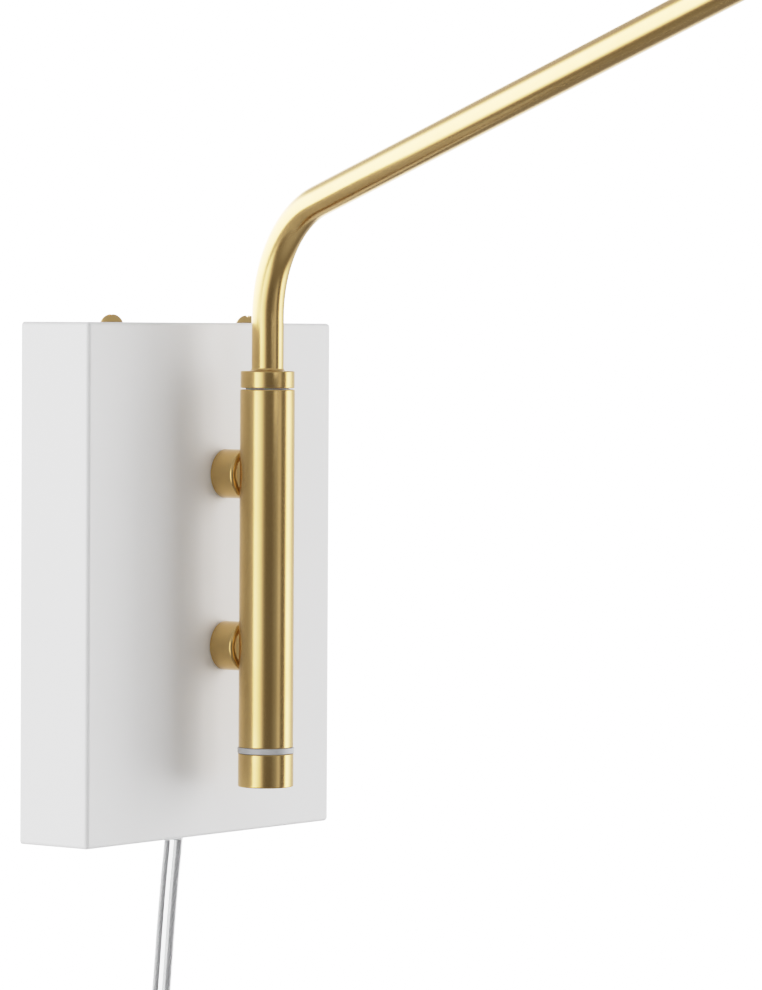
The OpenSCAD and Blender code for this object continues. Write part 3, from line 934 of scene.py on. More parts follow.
def broken_edges(piece: bpy.types.Object, width: float, segments: int = 3) -> bpy.types.Object:
    """Break a piece's sharp edges with a small round, and keep its flats flat.

    Args:
        piece: The piece.
        width: The round's width, in metres.
        segments: How many steps it has.

    Returns:
        The piece.
    """
    bevel = piece.modifiers.new("edges", "BEVEL")
    bevel.width, bevel.segments = width, segments
    bevel.limit_method, bevel.angle_limit = "ANGLE", math.radians(36)
    bevel.miter_outer = "MITER_ARC"
    return flat_faced(applied(piece, 50.0))


def machined(node: str, width: float = 0.3 * MM) -> bpy.types.Object:
    """Return a new piece with a node's own shape and broken edges.

    Args:
        node: The node.
        width: The width of the broken edges.

    Returns:
        The new piece.
    """
    work = bmesh.new()
    work.from_mesh(frame["nodes"][node].data)
    bmesh.ops.remove_doubles(work, verts=work.verts, dist=2e-6)
    bmesh.ops.dissolve_limit(work, angle_limit=math.radians(0.8), verts=work.verts, edges=work.edges)
    mesh = bpy.data.meshes.new(node)
    work.to_mesh(mesh)
    work.free()
    return broken_edges(settle(f"{node}_eased", mesh), width)


def rod(name: str, place: Matrix, radius: float, low: float, high: float,
        segments: int = 64) -> bpy.types.Object:
    """Return a plain round bar for cutting with, with its sizes in millimetres.

    Args:
        name: The object's name.
        place: The frame whose Z axis it follows.
        radius: Its radius.
        low: Its lower end.
        high: Its upper end.
        segments: How many steps go round.

    Returns:
        The bar.
    """
    outline = [(0, low), (radius, low), (radius, high), (0, high)]
    return lathe(name, outline, place, closed=False, segments=segments)


def cuboid(name: str, low: Point, high: Point) -> bpy.types.Object:
    """Return a plain block for cutting with.

    Args:
        name: The object's name.
        low: Its lowest corner, in millimetres.
        high: Its highest corner, in millimetres.

    Returns:
        The block.
    """
    work = bmesh.new()
    bmesh.ops.create_cube(work, size=1.0)
    for vertex in work.verts:
        vertex.co = Vector([(a + b) / 2 + c * (b - a) for a, b, c in zip(low, high, vertex.co)]) * MM
    mesh = bpy.data.meshes.new(name)
    work.to_mesh(mesh)
    work.free()
    return settle(name, mesh)


def rounded_outline(width: float, height: float, radius: float, steps: int = 8) -> list[tuple[float, float]]:
    """Return a rectangle with round corners, around the origin.

    Args:
        width: Its width.
        height: Its height.
        radius: The corners' radius.
        steps: How many pieces each corner has.

    Returns:
        The outline's points.
    """
    points: list[tuple[float, float]] = []
    for turn, (sx, sy) in enumerate(((1, 1), (-1, 1), (-1, -1), (1, -1))):
        centre = (sx * (width / 2 - radius), sy * (height / 2 - radius))
        points += arc(centre, radius, 90 * turn, 90 * turn + 90, steps)
    return points


# ---------------------------------------------------------------- studio


@dataclass
class Studio:
    """The camera, the soft light all round and the floor far below."""

    lens: float = 183.12
    place: tuple[float, float, float] = (-1.55255, -1.28544, 0.09956)
    yaw: float = 53.042
    pitch: float = 1.890
    roll: float = 0.326
    floor_z: float = -1.35
    floor_reach: float = 4.5
    # Brightness round the room, from -180 to 180 degrees, with a warm or cool cast
    room: tuple[tuple[float, float, str], ...] = (
        (-180, 2.9, "plain"), (-166, 1.60, "plain"), (-157, 0.60, "plain"), (-150, 0.19, "warm"),
        (-120, 0.18, "warm"), (-108, 0.32, "plain"), (-98, 0.42, "plain"), (-91, 0.86, "plain"),
        (-84, 1.10, "plain"), (-79, 0.17, "warm"), (-63, 0.16, "warm"), (-57, 0.42, "warm"),
        (-52, 4.0, "plain"), (-42, 4.6, "plain"), (-28, 3.1, "plain"), (-12, 1.1, "plain"),
        (24, 0.9, "plain"), (36, 4.6, "plain"), (110, 5.6, "plain"), (150, 4.4, "plain"),
        (166, 3.9, "plain"), (180, 2.9, "plain"))
    casts: dict[str, tuple[float, float, float]] = field(default_factory=lambda: {
        "plain": (1.0, 1.0, 1.0), "warm": (1.0, 0.92, 0.82)})
    # Brightness over and under the ring, with the height where each starts and how fast it takes over
    ceiling: tuple[float, float, float] = (0.62, 0.25, 7.0)
    shadow: tuple[float, float, float] = (0.27, 0.42, 4.4)
    ground: tuple[float, float, float] = (0.62, 0.80, 4.0)
    # The share of the white background that is seen through clear pieces
    seen_through: float = 0.16
    key_place: tuple[float, float, float] = (1.09, -0.56, 0.15)
    key_aim: tuple[float, float, float] = (0, -0.03, 0)
    key_size: tuple[float, float] = (0.34, 1.5)
    key_watts: float = 12.8
    # How the film answers to light: even up to a point, and softer and softer towards white
    film: tuple[tuple[float, float], ...] = (
        (0.4, 0.4), (0.6, 0.555), (0.8, 0.66), (1.0, 0.73), (1.4, 0.82), (2.0, 0.90), (3.0, 0.97))
    white: float = 4.0

    def camera(self) -> None:
        """Make the camera."""
        data = bpy.data.cameras.new("camera")
        data.lens, data.sensor_width, data.sensor_fit = self.lens, 36.0, "AUTO"
        data.clip_start, data.clip_end = 0.05, 60.0
        camera = bpy.data.objects.new("camera", data)
        bpy.context.scene.collection.objects.link(camera)
        turn = Matrix.Rotation(-math.radians(self.yaw), 4, "Z")
        turn @= Matrix.Rotation(math.radians(90 - self.pitch), 4, "X")
        turn @= Matrix.Rotation(math.radians(self.roll), 4, "Z")
        camera.matrix_world = Matrix.Translation(self.place) @ turn
        bpy.context.scene.camera = camera

    def _stops(self) -> list[tuple[float, tuple[float, ...]]]:
        """Return the room's brightness as a ramp's stops, on a scale that peaks at 1."""
        peak = max(level for _, level, _ in self.room)
        return [((angle + 180) / 360, tuple(level / peak * c for c in self.casts[cast]))
                for angle, level, cast in self.room]

    def light(self) -> None:
        """Fill the world: a white background, and soft boxes round the room for everything else."""
        world = bpy.data.worlds.new("studio")
        world.use_nodes = True
        bpy.context.scene.world = world
        graph = Graph(world.node_tree)
        direction = graph.node("ShaderNodeTexCoord", {}, {}, "Generated")
        parts = graph.raw("ShaderNodeSeparateXYZ", {}, {"Vector": direction})
        x, y, z = (Value(graph, parts.outputs[i]) for i in range(3))
        turn = graph.node("ShaderNodeMath", {"operation": "ARCTAN2"}, {0: y, 1: x}) / (2 * math.pi) + 0.5
        ring = graph.node("ShaderNodeValToRGB", {"stops": self._stops()}, {"Fac": turn})
        peak = max(level for _, level, _ in self.room)
        full = ring
        layers = ((z, self.ceiling, "plain"), (z * -1, self.shadow, "warm"), (z * -1, self.ground, "plain"))
        for height, (level, start, pace), cast in layers:
            colour = rgb([c * level / peak for c in self.casts[cast]])
            full = graph.blend(((height - start) * pace).clamp(), full, colour)
        path = graph.raw("ShaderNodeLightPath", {}, {})
        soft = graph.raw("ShaderNodeBackground", {}, {"Color": full, "Strength": peak})
        even = graph.raw("ShaderNodeBackground", {}, {"Color": rgb((1, 1, 1)), "Strength": self.white})
        seen = Value(graph, path.outputs["Is Camera Ray"])
        through = Value(graph, path.outputs["Is Transmission Ray"])
        through = through * self.seen_through
        share = graph.node("ShaderNodeMath", {"operation": "MAXIMUM"}, {0: seen, 1: through})
        mixed = graph.raw("ShaderNodeMixShader", {}, {
            0: share, 1: Value(graph, soft.outputs[0]), 2: Value(graph, even.outputs[0])})
        graph.raw("ShaderNodeOutputWorld", {}, {"Surface": Value(graph, mixed.outputs[0])})

    def lamp(self, name: str, place: Point, aim: Point, size: Point, watts: float) -> None:
        """Add a soft box.

        Args:
            name: Its name.
            place: Its middle.
            aim: The point that it faces.
            size: Its width and height.
            watts: Its power.
        """
        data = bpy.data.lights.new(name, "AREA")
        data.shape, data.size, data.size_y, data.energy = "RECTANGLE", size[0], size[1], watts
        box = bpy.data.objects.new(name, data)
        bpy.context.scene.collection.objects.link(box)
        box.location = place
        box.rotation_euler = (Vector(aim) - Vector(place)).to_track_quat("-Z", "Y").to_euler()
        box.visible_glossy = False

    def floor(self) -> None:
        """Make the plain pale floor."""
        reach, z = self.floor_reach, self.floor_z
        draft = Draft()
        rows = [[Vector((x, y, z)) for x in (-reach, reach)] for y in (-reach, reach)]
        draft.grid(rows, [0, 1], [0, 1], wrap_columns=False)
        floor = draft.object("floor")
        Moulded((0.80, 0.80, 0.80), (0.78, 0.78, 0.78), 0.8, 40.0).dress(floor)
        floor.visible_glossy = False

    def develop(self) -> None:
        """Set how the picture answers to light."""
        view = bpy.context.scene.view_settings
        view.view_transform = "Standard"
        view.use_curve_mapping = True
        curves = view.curve_mapping
        curves.white_level = (self.white,) * 3
        for seen, shown in self.film:
            curves.curves[3].points.new(seen / self.white, shown)
        curves.update()

    def build(self) -> None:
        """Make the studio."""
        self.camera()
        self.light()
        self.lamp("key_right", self.key_place, self.key_aim, self.key_size, self.key_watts)
        self.floor()
        self.develop()
        log.info("studio: camera, room light, soft box and floor")


# ---------------------------------------------------------------- cord


@dataclass
class CordSizes:
    """The cord's route and section, in millimetres as in the model's source."""

    width: float = 7.6
    thick: float = 3.8
    web: float = 1.0
    wire: float = 0.78
    wire_out: float = 2.25
    length: float = 1830.0
    turn: float = 52.0
    step: float = 3.0
    run_top: float = -200.0
    run: float = 124.0
    layers: int = 5
    back_y: float = -6.0
    tie_wide: float = 12.0
    tie_thick: float = 1.4
    plug_z: float = -367.0
    ridge: float = 0.45
    lead: tuple[tuple[float, float, float], ...] = (
        (0, -14.5, -104.6), (0, -14, -110), (0, -12.8, -120), (0, -11.2, -136),
        (0, -9.8, -152), (0, -8.4, -168), (0, -7, -184), (0, -6, -200))
    end: tuple[tuple[float, float, float], ...] = ((0, -36.4, -330), (0, -36.4, -348), (0, -36.4, -367))


class CordUnit(Assembly):
    """The clear flat cord, its two conductors, the tie round its hank and its plug."""

    sizes = CordSizes()

    def route(self) -> list[Vector]:
        """Return the cord's centreline in metres: the lead, the hank's turns and the end."""
        s = self.sizes
        fold, low = 3 * s.width, s.run_top - s.run
        knots = smooth_line(s.lead, s.step)
        runs = round(s.run / s.step)
        folds = round(math.pi * fold / s.step)
        for layer in range(s.layers):
            y = s.back_y - layer * s.width
            knots += [Vector((0, y, s.run_top - s.run * k / runs)) for k in range(1, runs + 1)]
            if layer == s.layers - 1:
                break
            for k in range(1, folds + 1):
                a = math.pi * (1 + k / folds)
                knots.append(Vector((fold + fold * math.cos(a), y, low + fold * math.sin(a))))
            knots += [Vector((2 * fold, y, low + s.run * k / runs)) for k in range(1, runs + 1)]
            for k in range(1, folds + 1):
                a, t = math.pi * k / folds, min(1.0, 1.2 * k / folds)
                shift = s.width * t * t * (3 - 2 * t)
                knots.append(Vector((fold + fold * math.cos(a), y - shift, s.run_top + fold * math.sin(a))))
        knots += smooth_line([tuple(knots[-1]), *s.end], s.step)[1:]
        return [p * MM for p in knots]

    def widths(self, line: Sequence[Vector]) -> list[Vector]:
        """Return the direction of the cord's width at each point.

        Args:
            line: The centreline.

        Returns:
            A direction for each point.
        """
        found = []
        first = math.radians(self.sizes.turn)
        for point in line:
            t = min(1.0, max(0.0, (-0.165 - point.z) / 0.030))
            t = t * t * (3 - 2 * t) if point.y > -0.02 else 1.0
            a = -first - (math.pi / 2 - first) * t
            found.append(Vector((math.cos(a), math.sin(a), 0)))
        return found

    def section(self) -> list[tuple[float, float]]:
        """Return the jacket's section: two lobes joined by a thinner web."""
        s = self.sizes
        r = s.thick / 2 * MM
        waist = math.degrees(math.asin(s.web / (s.thick / 2)))
        return (arc((r, 0), r, waist - 180, 180 - waist, 22) + arc((-r, 0), r, waist, 360 - waist, 22))

    def plug(self) -> bpy.types.Object:
        """Make the plug's moulded body, with a neck and finger ridges."""
        s, draft = self.sizes, Draft()
        sides = [(0.0, 8.4, 4.8), (1.5, 10.6, 7.6), (6, 14.0, 9.6), (11, 18.5, 12.2), (16, 23.4, 14.6)]
        for k in range(1, 15):
            pinch = s.ridge * (k % 2)
            sides.append((16 + k, 24 + 0.12 * k - 2 * pinch, 15 + 0.12 * k - 2 * pinch))
        sides += [(30.8, 25.8, 16.8), (31.6, 25.4, 16.4), (32.0, 24.4, 15.4)]
        rows = []
        for z, w, h in sides:
            outline = rounded_outline(w * MM, h * MM, min(h * 0.42, 6) * MM)
            rows.append([Vector((x, y + s.end[-1][1] * MM, (s.plug_z - z) * MM)) for x, y in outline])
        draft.tube(rows, [z * MM for z, _, _ in sides])
        return draft.object("plug", None, 60.0)

    def tie(self) -> bpy.types.Object:
        """Make the webbing strap round the hank."""
        s = self.sizes
        wide, deep = 6 * s.width + s.width, s.layers * s.width
        middle = Vector((3 * s.width, s.back_y - (s.layers - 1) * s.width / 2, s.run_top - s.run / 2)) * MM
        grow = (0.15, s.tie_thick)
        inner = rounded_outline((wide + 2 * grow[0]) * MM, (deep + 2 * grow[0]) * MM, 2.2 * MM)
        outer = rounded_outline((wide + 2 * grow[1]) * MM, (deep + 2 * grow[1]) * MM, 3.4 * MM)
        half, soft = s.tie_wide / 2 * MM, 0.35 * MM
        rows = []
        for ring, z in ((inner, -half), (outer, -half + soft), (outer, half - soft), (inner, half)):
            rows.append([middle + Vector((x, y, z)) for x, y in ring])
        draft = Draft()
        draft.grid(rows, shares(len(inner)), [0, 1, 2, 3, 4], wrap_rows=True)
        return draft.object("cord_strap", None, 50.0)

    def build(self) -> None:
        """Make the cord and what is on it."""
        s = self.sizes
        line = self.route()
        widths = self.widths(line)
        jacket = swept("cord", line, widths, self.section())
        self.add(jacket, ClearPlastic(), "cord_lead", "cord_hank", "cord_end", slot="clear_cord")
        round_wire = arc((0, 0), s.wire * MM, 0, 330, 11)
        for side, name in ((1, "conductor_right"), (-1, "conductor_left")):
            inner = [line[0].lerp(line[1], 0.1), *line[1:]]
            shifted = [p + w * side * s.wire_out * MM for p, w in zip(inner, widths)]
            wire = swept(name, shifted, widths, round_wire)
            self.add(wire, Strands())
        plug = self.add(self.plug(), ClearPlastic((0.88, 0.89, 0.9), (0.82, 0.83, 0.84), 0.25, 0.55),
                        "plug_body", slot="clear_plug")
        blades = self.add(machined("plug_blades", 0.15 * MM), NICKEL, "plug_blades", slot="nickel")
        self.add(self.tie(), Webbing(), "cord_tie", slot="tie_strap")
        self.keep(ClearPlastic(transmission=0.4), "cord_tail")


# ---------------------------------------------------------------- box


@dataclass
class BoxSizes:
    """The box cover and its screws, in millimetres."""

    wide: float = 152.4
    high: float = 203.2
    deep: float = 34.0
    sheet: float = 1.5
    edge: float = 1.6
    screw_x: float = 42.5
    screw_r: float = 4.5
    screw_h: float = 3.2
    cord_y: float = -14.5
    cord_hole: float = 6.0
    screw_hole: float = 2.2
    nipple_hole: float = 5.2
    bolt_hole: float = 2.7
    recess: float = 1.7
    recess_long: float = 2.6
    recess_wide: float = 0.55


class BoxUnit(Assembly):
    """The white box cover with its screws and grommet, and what it hides."""

    sizes = BoxSizes()

    def cover(self) -> bpy.types.Object:
        """Make the cover: a thin shell, open at the wall, with round outer edges."""
        s = self.sizes
        work = bmesh.new()
        bmesh.ops.create_cube(work, size=1.0)
        for vertex in work.verts:
            x, y, z = vertex.co
            vertex.co = Vector((x * s.wide, (y - 0.5) * s.deep, z * s.high)) * MM
        outer = [e for e in work.edges if not all(abs(v.co.y) < 1e-6 for v in e.verts)]
        bmesh.ops.bevel(work, geom=outer, offset=s.edge * MM, segments=6, profile=0.5, affect="EDGES")
        mesh = bpy.data.meshes.new("cover")
        work.to_mesh(mesh)
        work.free()
        shell = settle("cover", mesh, 60.0)
        hollow = [(-s.wide / 2 + s.sheet, -s.deep + s.sheet, -s.high / 2 + s.sheet),
                  (s.wide / 2 - s.sheet, 5, s.high / 2 - s.sheet)]
        down = Matrix.Translation((0, s.cord_y * MM, -s.high / 2 * MM))
        holes = [cuboid("hollow", *hollow), rod("cord_hole", down, s.cord_hole, -CUT, CUT)]
        for side in (-1, 1):
            place = Matrix.Translation((side * s.screw_x * MM, -s.deep / 2 * MM, s.high / 2 * MM))
            holes.append(rod(f"screw_hole_{side}", place, s.screw_hole, -CUT, CUT))
        for node, radius in (("standoff_upper", s.nipple_hole), ("standoff_lower", s.bolt_hole)):
            low, high = box_of(node)
            middle = (low + high) / 2
            place = Matrix.Translation((middle.x, -s.deep * MM, middle.z))
            place @= Matrix.Rotation(math.pi / 2, 4, "X")
            holes.append(rod(f"{node}_hole", place, radius, -CUT, CUT))
        return flat_faced(carved(shell, *holes))

    def screw(self, name: str, x: float, turn: float) -> bpy.types.Object:
        """Make a dome-headed screw with a cross recess.

        Args:
            name: Its name.
            x: Its place along the box.
            turn: How far its recess is turned, in degrees.

        Returns:
            The screw.
        """
        s = self.sizes
        place = Matrix.Translation((x * MM, -s.deep / 2 * MM, s.high / 2 * MM))
        ball = (s.screw_r ** 2 + s.screw_h ** 2) / (2 * s.screw_h)
        first = math.degrees(math.asin((s.screw_h - ball) / ball)) if ball > s.screw_h else 0.0
        dome = arc((0, s.screw_h - ball), ball, max(first, -60.0), 90, 20)
        shank = [(0, -8.0), (1.4, -8.0)]
        for k in range(9):
            shank += [(1.9, -7.2 + 0.8 * k), (1.5, -6.8 + 0.8 * k)]
        outline = [*shank, (1.85, -0.2), (1.85, 0), (s.screw_r - 0.3, 0), (s.screw_r, 0.25)]
        outline += [p for p in dome if p[1] > 0.3]
        head = lathe(name, outline, place, closed=False, segments=72)
        spin = place @ Matrix.Rotation(math.radians(turn), 4, "Z")
        slots = []
        for quarter in (0, math.pi / 2):
            bar = cuboid(f"{name}_recess", (-s.recess_long, -s.recess_wide, s.recess),
                         (s.recess_long, s.recess_wide, s.screw_h + 1.8))
            bar.data.transform(spin @ Matrix.Rotation(quarter, 4, "Z"))
            slots.append(bar)
        carved(head, *slots)
        return broken_edges(head, 0.12 * MM, 2)

    def grommet(self) -> bpy.types.Object:
        """Make the bush that the cord leaves the box through."""
        s = self.sizes
        place = Matrix.Translation((0, s.cord_y * MM, -s.high / 2 * MM))
        bore, neck, flange, clip = 3.95, 5.8, 7.5, 7.0
        profile = eased([(bore, -1.6, 0.4), (flange, -1.6, 0.7), (flange, 0, 0), (neck, 0, 0), (neck, 1.6, 0),
                         (clip, 1.6, 0.3), (clip, 4.6, 0.5), (neck, 4.6, 0), (neck, 11, 0), (bore, 11, 0)],
                        closed=True)
        return lathe("cord_bush", profile, place)

    def build(self) -> None:
        """Make every piece of the box."""
        s = self.sizes
        self.add(self.cover(), PowderCoat(), "box_cover", slot="white_coat")
        self.add(self.screw("cover_screw_left", -s.screw_x, 20), BRASS_CAST, "cover_screws", slot="brass")
        self.add(self.screw("cover_screw_right", s.screw_x, 52), BRASS_CAST, slot="brass")
        self.add(self.grommet(), NYLON, "cord_grommet", slot="white_nylon")
        self.add(machined("wall_bracket", 0.25 * MM), ZINC, "wall_bracket", slot="zinc_steel")
        self.keep(ZINC, "stiffener_plate", "nipple_washer", "standoff_washer", "standoff_screw")
        self.keep(BRASS_CAST, "standoff_nipple", "nipple_nut")
        self.keep(CRIMP, "wire_caps")
        self.keep(INSULATION, "box_leads")


# ---------------------------------------------------------------- barrel and standoffs


@dataclass
class BarrelSizes:
    """The barrel and standoffs, in millimetres."""

    radius: float = 10.85
    bore: float = 9.0
    wire_hole: float = 3.0
    top: float = 75.4
    bottom: float = -65.9
    washer_r: float = 11.2
    washer_t: float = 2.3
    face: float = -34.0
    reach: float = 21.2
    standoff_r: float = 9.7
    core_r: float = 8.0
    shoulder: float = 11.4
    ease: float = 1.5
    upper: float = 41.8
    lower: float = -26.5


class BarrelUnit(Assembly):
    """The barrel, its bushes and washer, and the two standoffs that hold it off the box."""

    sizes = BarrelSizes()

    def barrel(self) -> bpy.types.Object:
        """Make the barrel, with eased ends and the hole for the wires."""
        s = self.sizes
        outline = bored(s.radius, s.bore, s.bottom, s.top, 0.45, 0.3)
        tube = lathe("barrel_tube", outline, self.frames.barrel, segments=160)
        place = self.frames.barrel @ Matrix.Translation((0, 0, s.upper * MM))
        place @= Matrix.Rotation(-math.pi / 2, 4, "X")
        return carved(tube, rod("wire_hole", place, s.wire_hole, 0, 14))

    def standoff(self, name: str, z: float, bore: float) -> tuple[bpy.types.Object, bpy.types.Object]:
        """Make a standoff: a wide foot with an eased shoulder, and a core cut to the barrel.

        Args:
            name: Its name.
            z: Its height.
            bore: The radius of the bore at its foot.

        Returns:
            The foot and the core.
        """
        s = self.sizes
        out = Matrix.Translation((self.frames.swing.x, s.face * MM, z * MM))
        out @= Matrix.Rotation(math.pi / 2, 4, "X")
        axis = self.frames.barrel @ Matrix.Translation((0, 0, z * MM))
        round_edge = arc((s.standoff_r - s.ease, s.shoulder - s.ease), s.ease, 0, 90, 12)
        outline = [(bore, 0), (s.standoff_r - 0.45, 0), (s.standoff_r, 0.45), *round_edge, (bore, s.shoulder)]
        foot = lathe(name, outline, out, segments=128)
        carved(foot, rod("saddle", axis, s.radius, -20, 20, 160))
        plain = [(bore, 0.5), (s.core_r, 0.5), (s.core_r, s.reach), (bore, s.reach)]
        core = lathe(f"{name}_core", plain, out, segments=128)
        carved(core, rod("seat", axis, s.radius, -20, 20, 160))
        return foot, core

    def build(self) -> None:
        """Make every piece of the barrel."""
        s = self.sizes
        self.add(self.barrel(), BRASS_TURNED, "barrel", slot="brass")
        for name, z, bore in (("standoff_upper", s.upper, 3.0), ("standoff_lower", s.lower, 2.5)):
            foot, core = self.standoff(f"{name}_foot", z, bore)
            self.add(foot, BRASS_TURNED, name, slot="brass")
            self.add(core, BRASS_TURNED, slot="brass")
        outline = bored(s.washer_r, 5.55, s.bottom - s.washer_t, s.bottom, 0.35)
        washer = lathe("thrust_washer", outline, self.frames.barrel)
        self.add(washer, SATIN_STEEL, "friction_washer", slot="zinc_steel")
        self.keep(NYLON, "upper_bush", "lower_bush")


# ---------------------------------------------------------------- arm


@dataclass
class ArmSizes:
    """The arm, its collar and its end cap, in millimetres."""

    radius: float = 6.35
    bore: float = 5.15
    seat: float = 80.0
    straight: float = 400.0
    collar_r: float = 10.7
    collar_z: float = 76.0
    collar_h: float = 6.7
    fillet: float = 1.2
    spindle_r: float = 5.5
    spindle_end: float = -79.0
    cap_r: float = 11.0
    cap_top: float = -68.3
    cap_h: float = 13.2


class ArmUnit(Assembly):
    """The arm tube with its collar, spindle, end cap and the fork at its tip."""

    body = "arm"
    sizes = ArmSizes()

    def tube(self) -> bpy.types.Object:
        """Make the bent tube, hollow from end to end."""
        s = self.sizes
        line = self.frames.arm_line(s.seat * MM, s.straight * MM, 3 * MM)
        heading = [heading_at(line, i) for i in range(len(line))]
        side = (self.frames.arm.to_3x3() @ Vector((0, 1, 0))).normalized()
        draft, run = Draft(), [0.0]
        for a, b in zip(line, line[1:]):
            run.append(run[-1] + (b - a).length)
        turns = [2 * math.pi * k / 64 for k in range(64)]
        us = [k / 64 for k in range(65)]
        skins = []
        for radius in (s.radius * MM, s.bore * MM):
            rows = [[p + (side * math.cos(a) + h.cross(side) * math.sin(a)) * radius for a in turns]
                    for p, h in zip(line, heading)]
            skins.append((rows, draft.grid(rows, us, run)))
        for end, row in ((0, 0), (1, len(line) - 1)):
            outer, inner = (first + row * 64 for _, first in skins)
            for k in range(64):
                m = (k + 1) % 64
                ring = [outer + k, outer + m, inner + m, inner + k]
                draft.face(ring, [(us[k], 0), (us[k + 1], 0), (us[k + 1], 0.001), (us[k], 0.001)])
        return draft.object("arm_bent_tube")

    def collar(self) -> bpy.types.Object:
        """Make the swivel collar with the brazed fillet round the tube."""
        s = self.sizes
        top = s.collar_z + s.collar_h
        corners = [(s.spindle_r, s.collar_z, 0), (s.collar_r, s.collar_z, 0.4), (s.collar_r, top, 0.55),
                   (s.radius + s.fillet, top, 0)]
        outline = eased(corners, closed=False)
        outline += arc((s.radius + s.fillet, top + s.fillet), s.fillet, -90, -180, 6)[1:]
        outline += [(s.radius, s.seat), (s.spindle_r, s.seat)]
        return lathe("collar", outline, self.frames.barrel, segments=160)

    def cap(self) -> bpy.types.Object:
        """Make the end cap, hollow at its top for the nut."""
        s = self.sizes
        low = s.cap_top - s.cap_h
        corners = [(0, low, 0), (s.cap_r, low, 0.6), (s.cap_r, s.cap_top, 0.4), (8.6, s.cap_top, 0.2),
                   (8.6, s.cap_top - 6, 0), (s.spindle_r, s.cap_top - 6, 0), (s.spindle_r, s.spindle_end, 0),
                   (0, s.spindle_end, 0)]
        outline = eased(corners, closed=False)
        return lathe("barrel_cap", outline, self.frames.barrel, closed=False, segments=160)

    def build(self) -> None:
        """Make every piece of the arm."""
        self.add(self.collar(), BRASS_TURNED, "swivel_collar", slot="brass")
        self.add(self.tube(), BRASS_DRAWN, "arm_tube", slot="brass")
        self.add(self.cap(), BRASS_TURNED, "end_cap", slot="brass")
        for node, ease in (("knuckle_fork", 0.4), ("pivot_screw", 0.25), ("pivot_nut", 0.25)):
            self.add(machined(node, ease * MM), BRASS_CAST, node, slot="brass")
        self.keep(BRASS_CAST, "spindle")
        self.keep(ZINC, "stop_pin", "spring_washer", "spindle_nut")
        self.keep(NYLON, "tilt_washers")
        self.keep(INSULATION, "arm_wires")


# ---------------------------------------------------------------- head


@dataclass
class HeadSizes:
    """The head, measured down from the tilt pivot, in millimetres."""

    cup_top: float = 30.0
    cup_bottom: float = 65.8
    cup_r: float = 19.0
    cup_t: float = 1.95
    stem_r: float = 4.5
    socket_r: float = 17.0
    socket_top: float = 38.0
    socket_bottom: float = 84.0
    socket_bore: float = 13.4
    shade_top: float = 66.0
    shade_h: float = 88.0
    rim_r: float = 70.0
    neck_r: float = 17.2
    shoulder_r: float = 9.0
    sheet: float = 1.0
    wire_r: float = 1.3
    bulb_r: float = 24.0
    bulb_mid: float = 118.0
    bulb_neck: float = 12.0
    bulb_seam: float = 76.0
    glass: float = 0.9
    base_r: float = 13.1
    switch_hole: float = 2.05


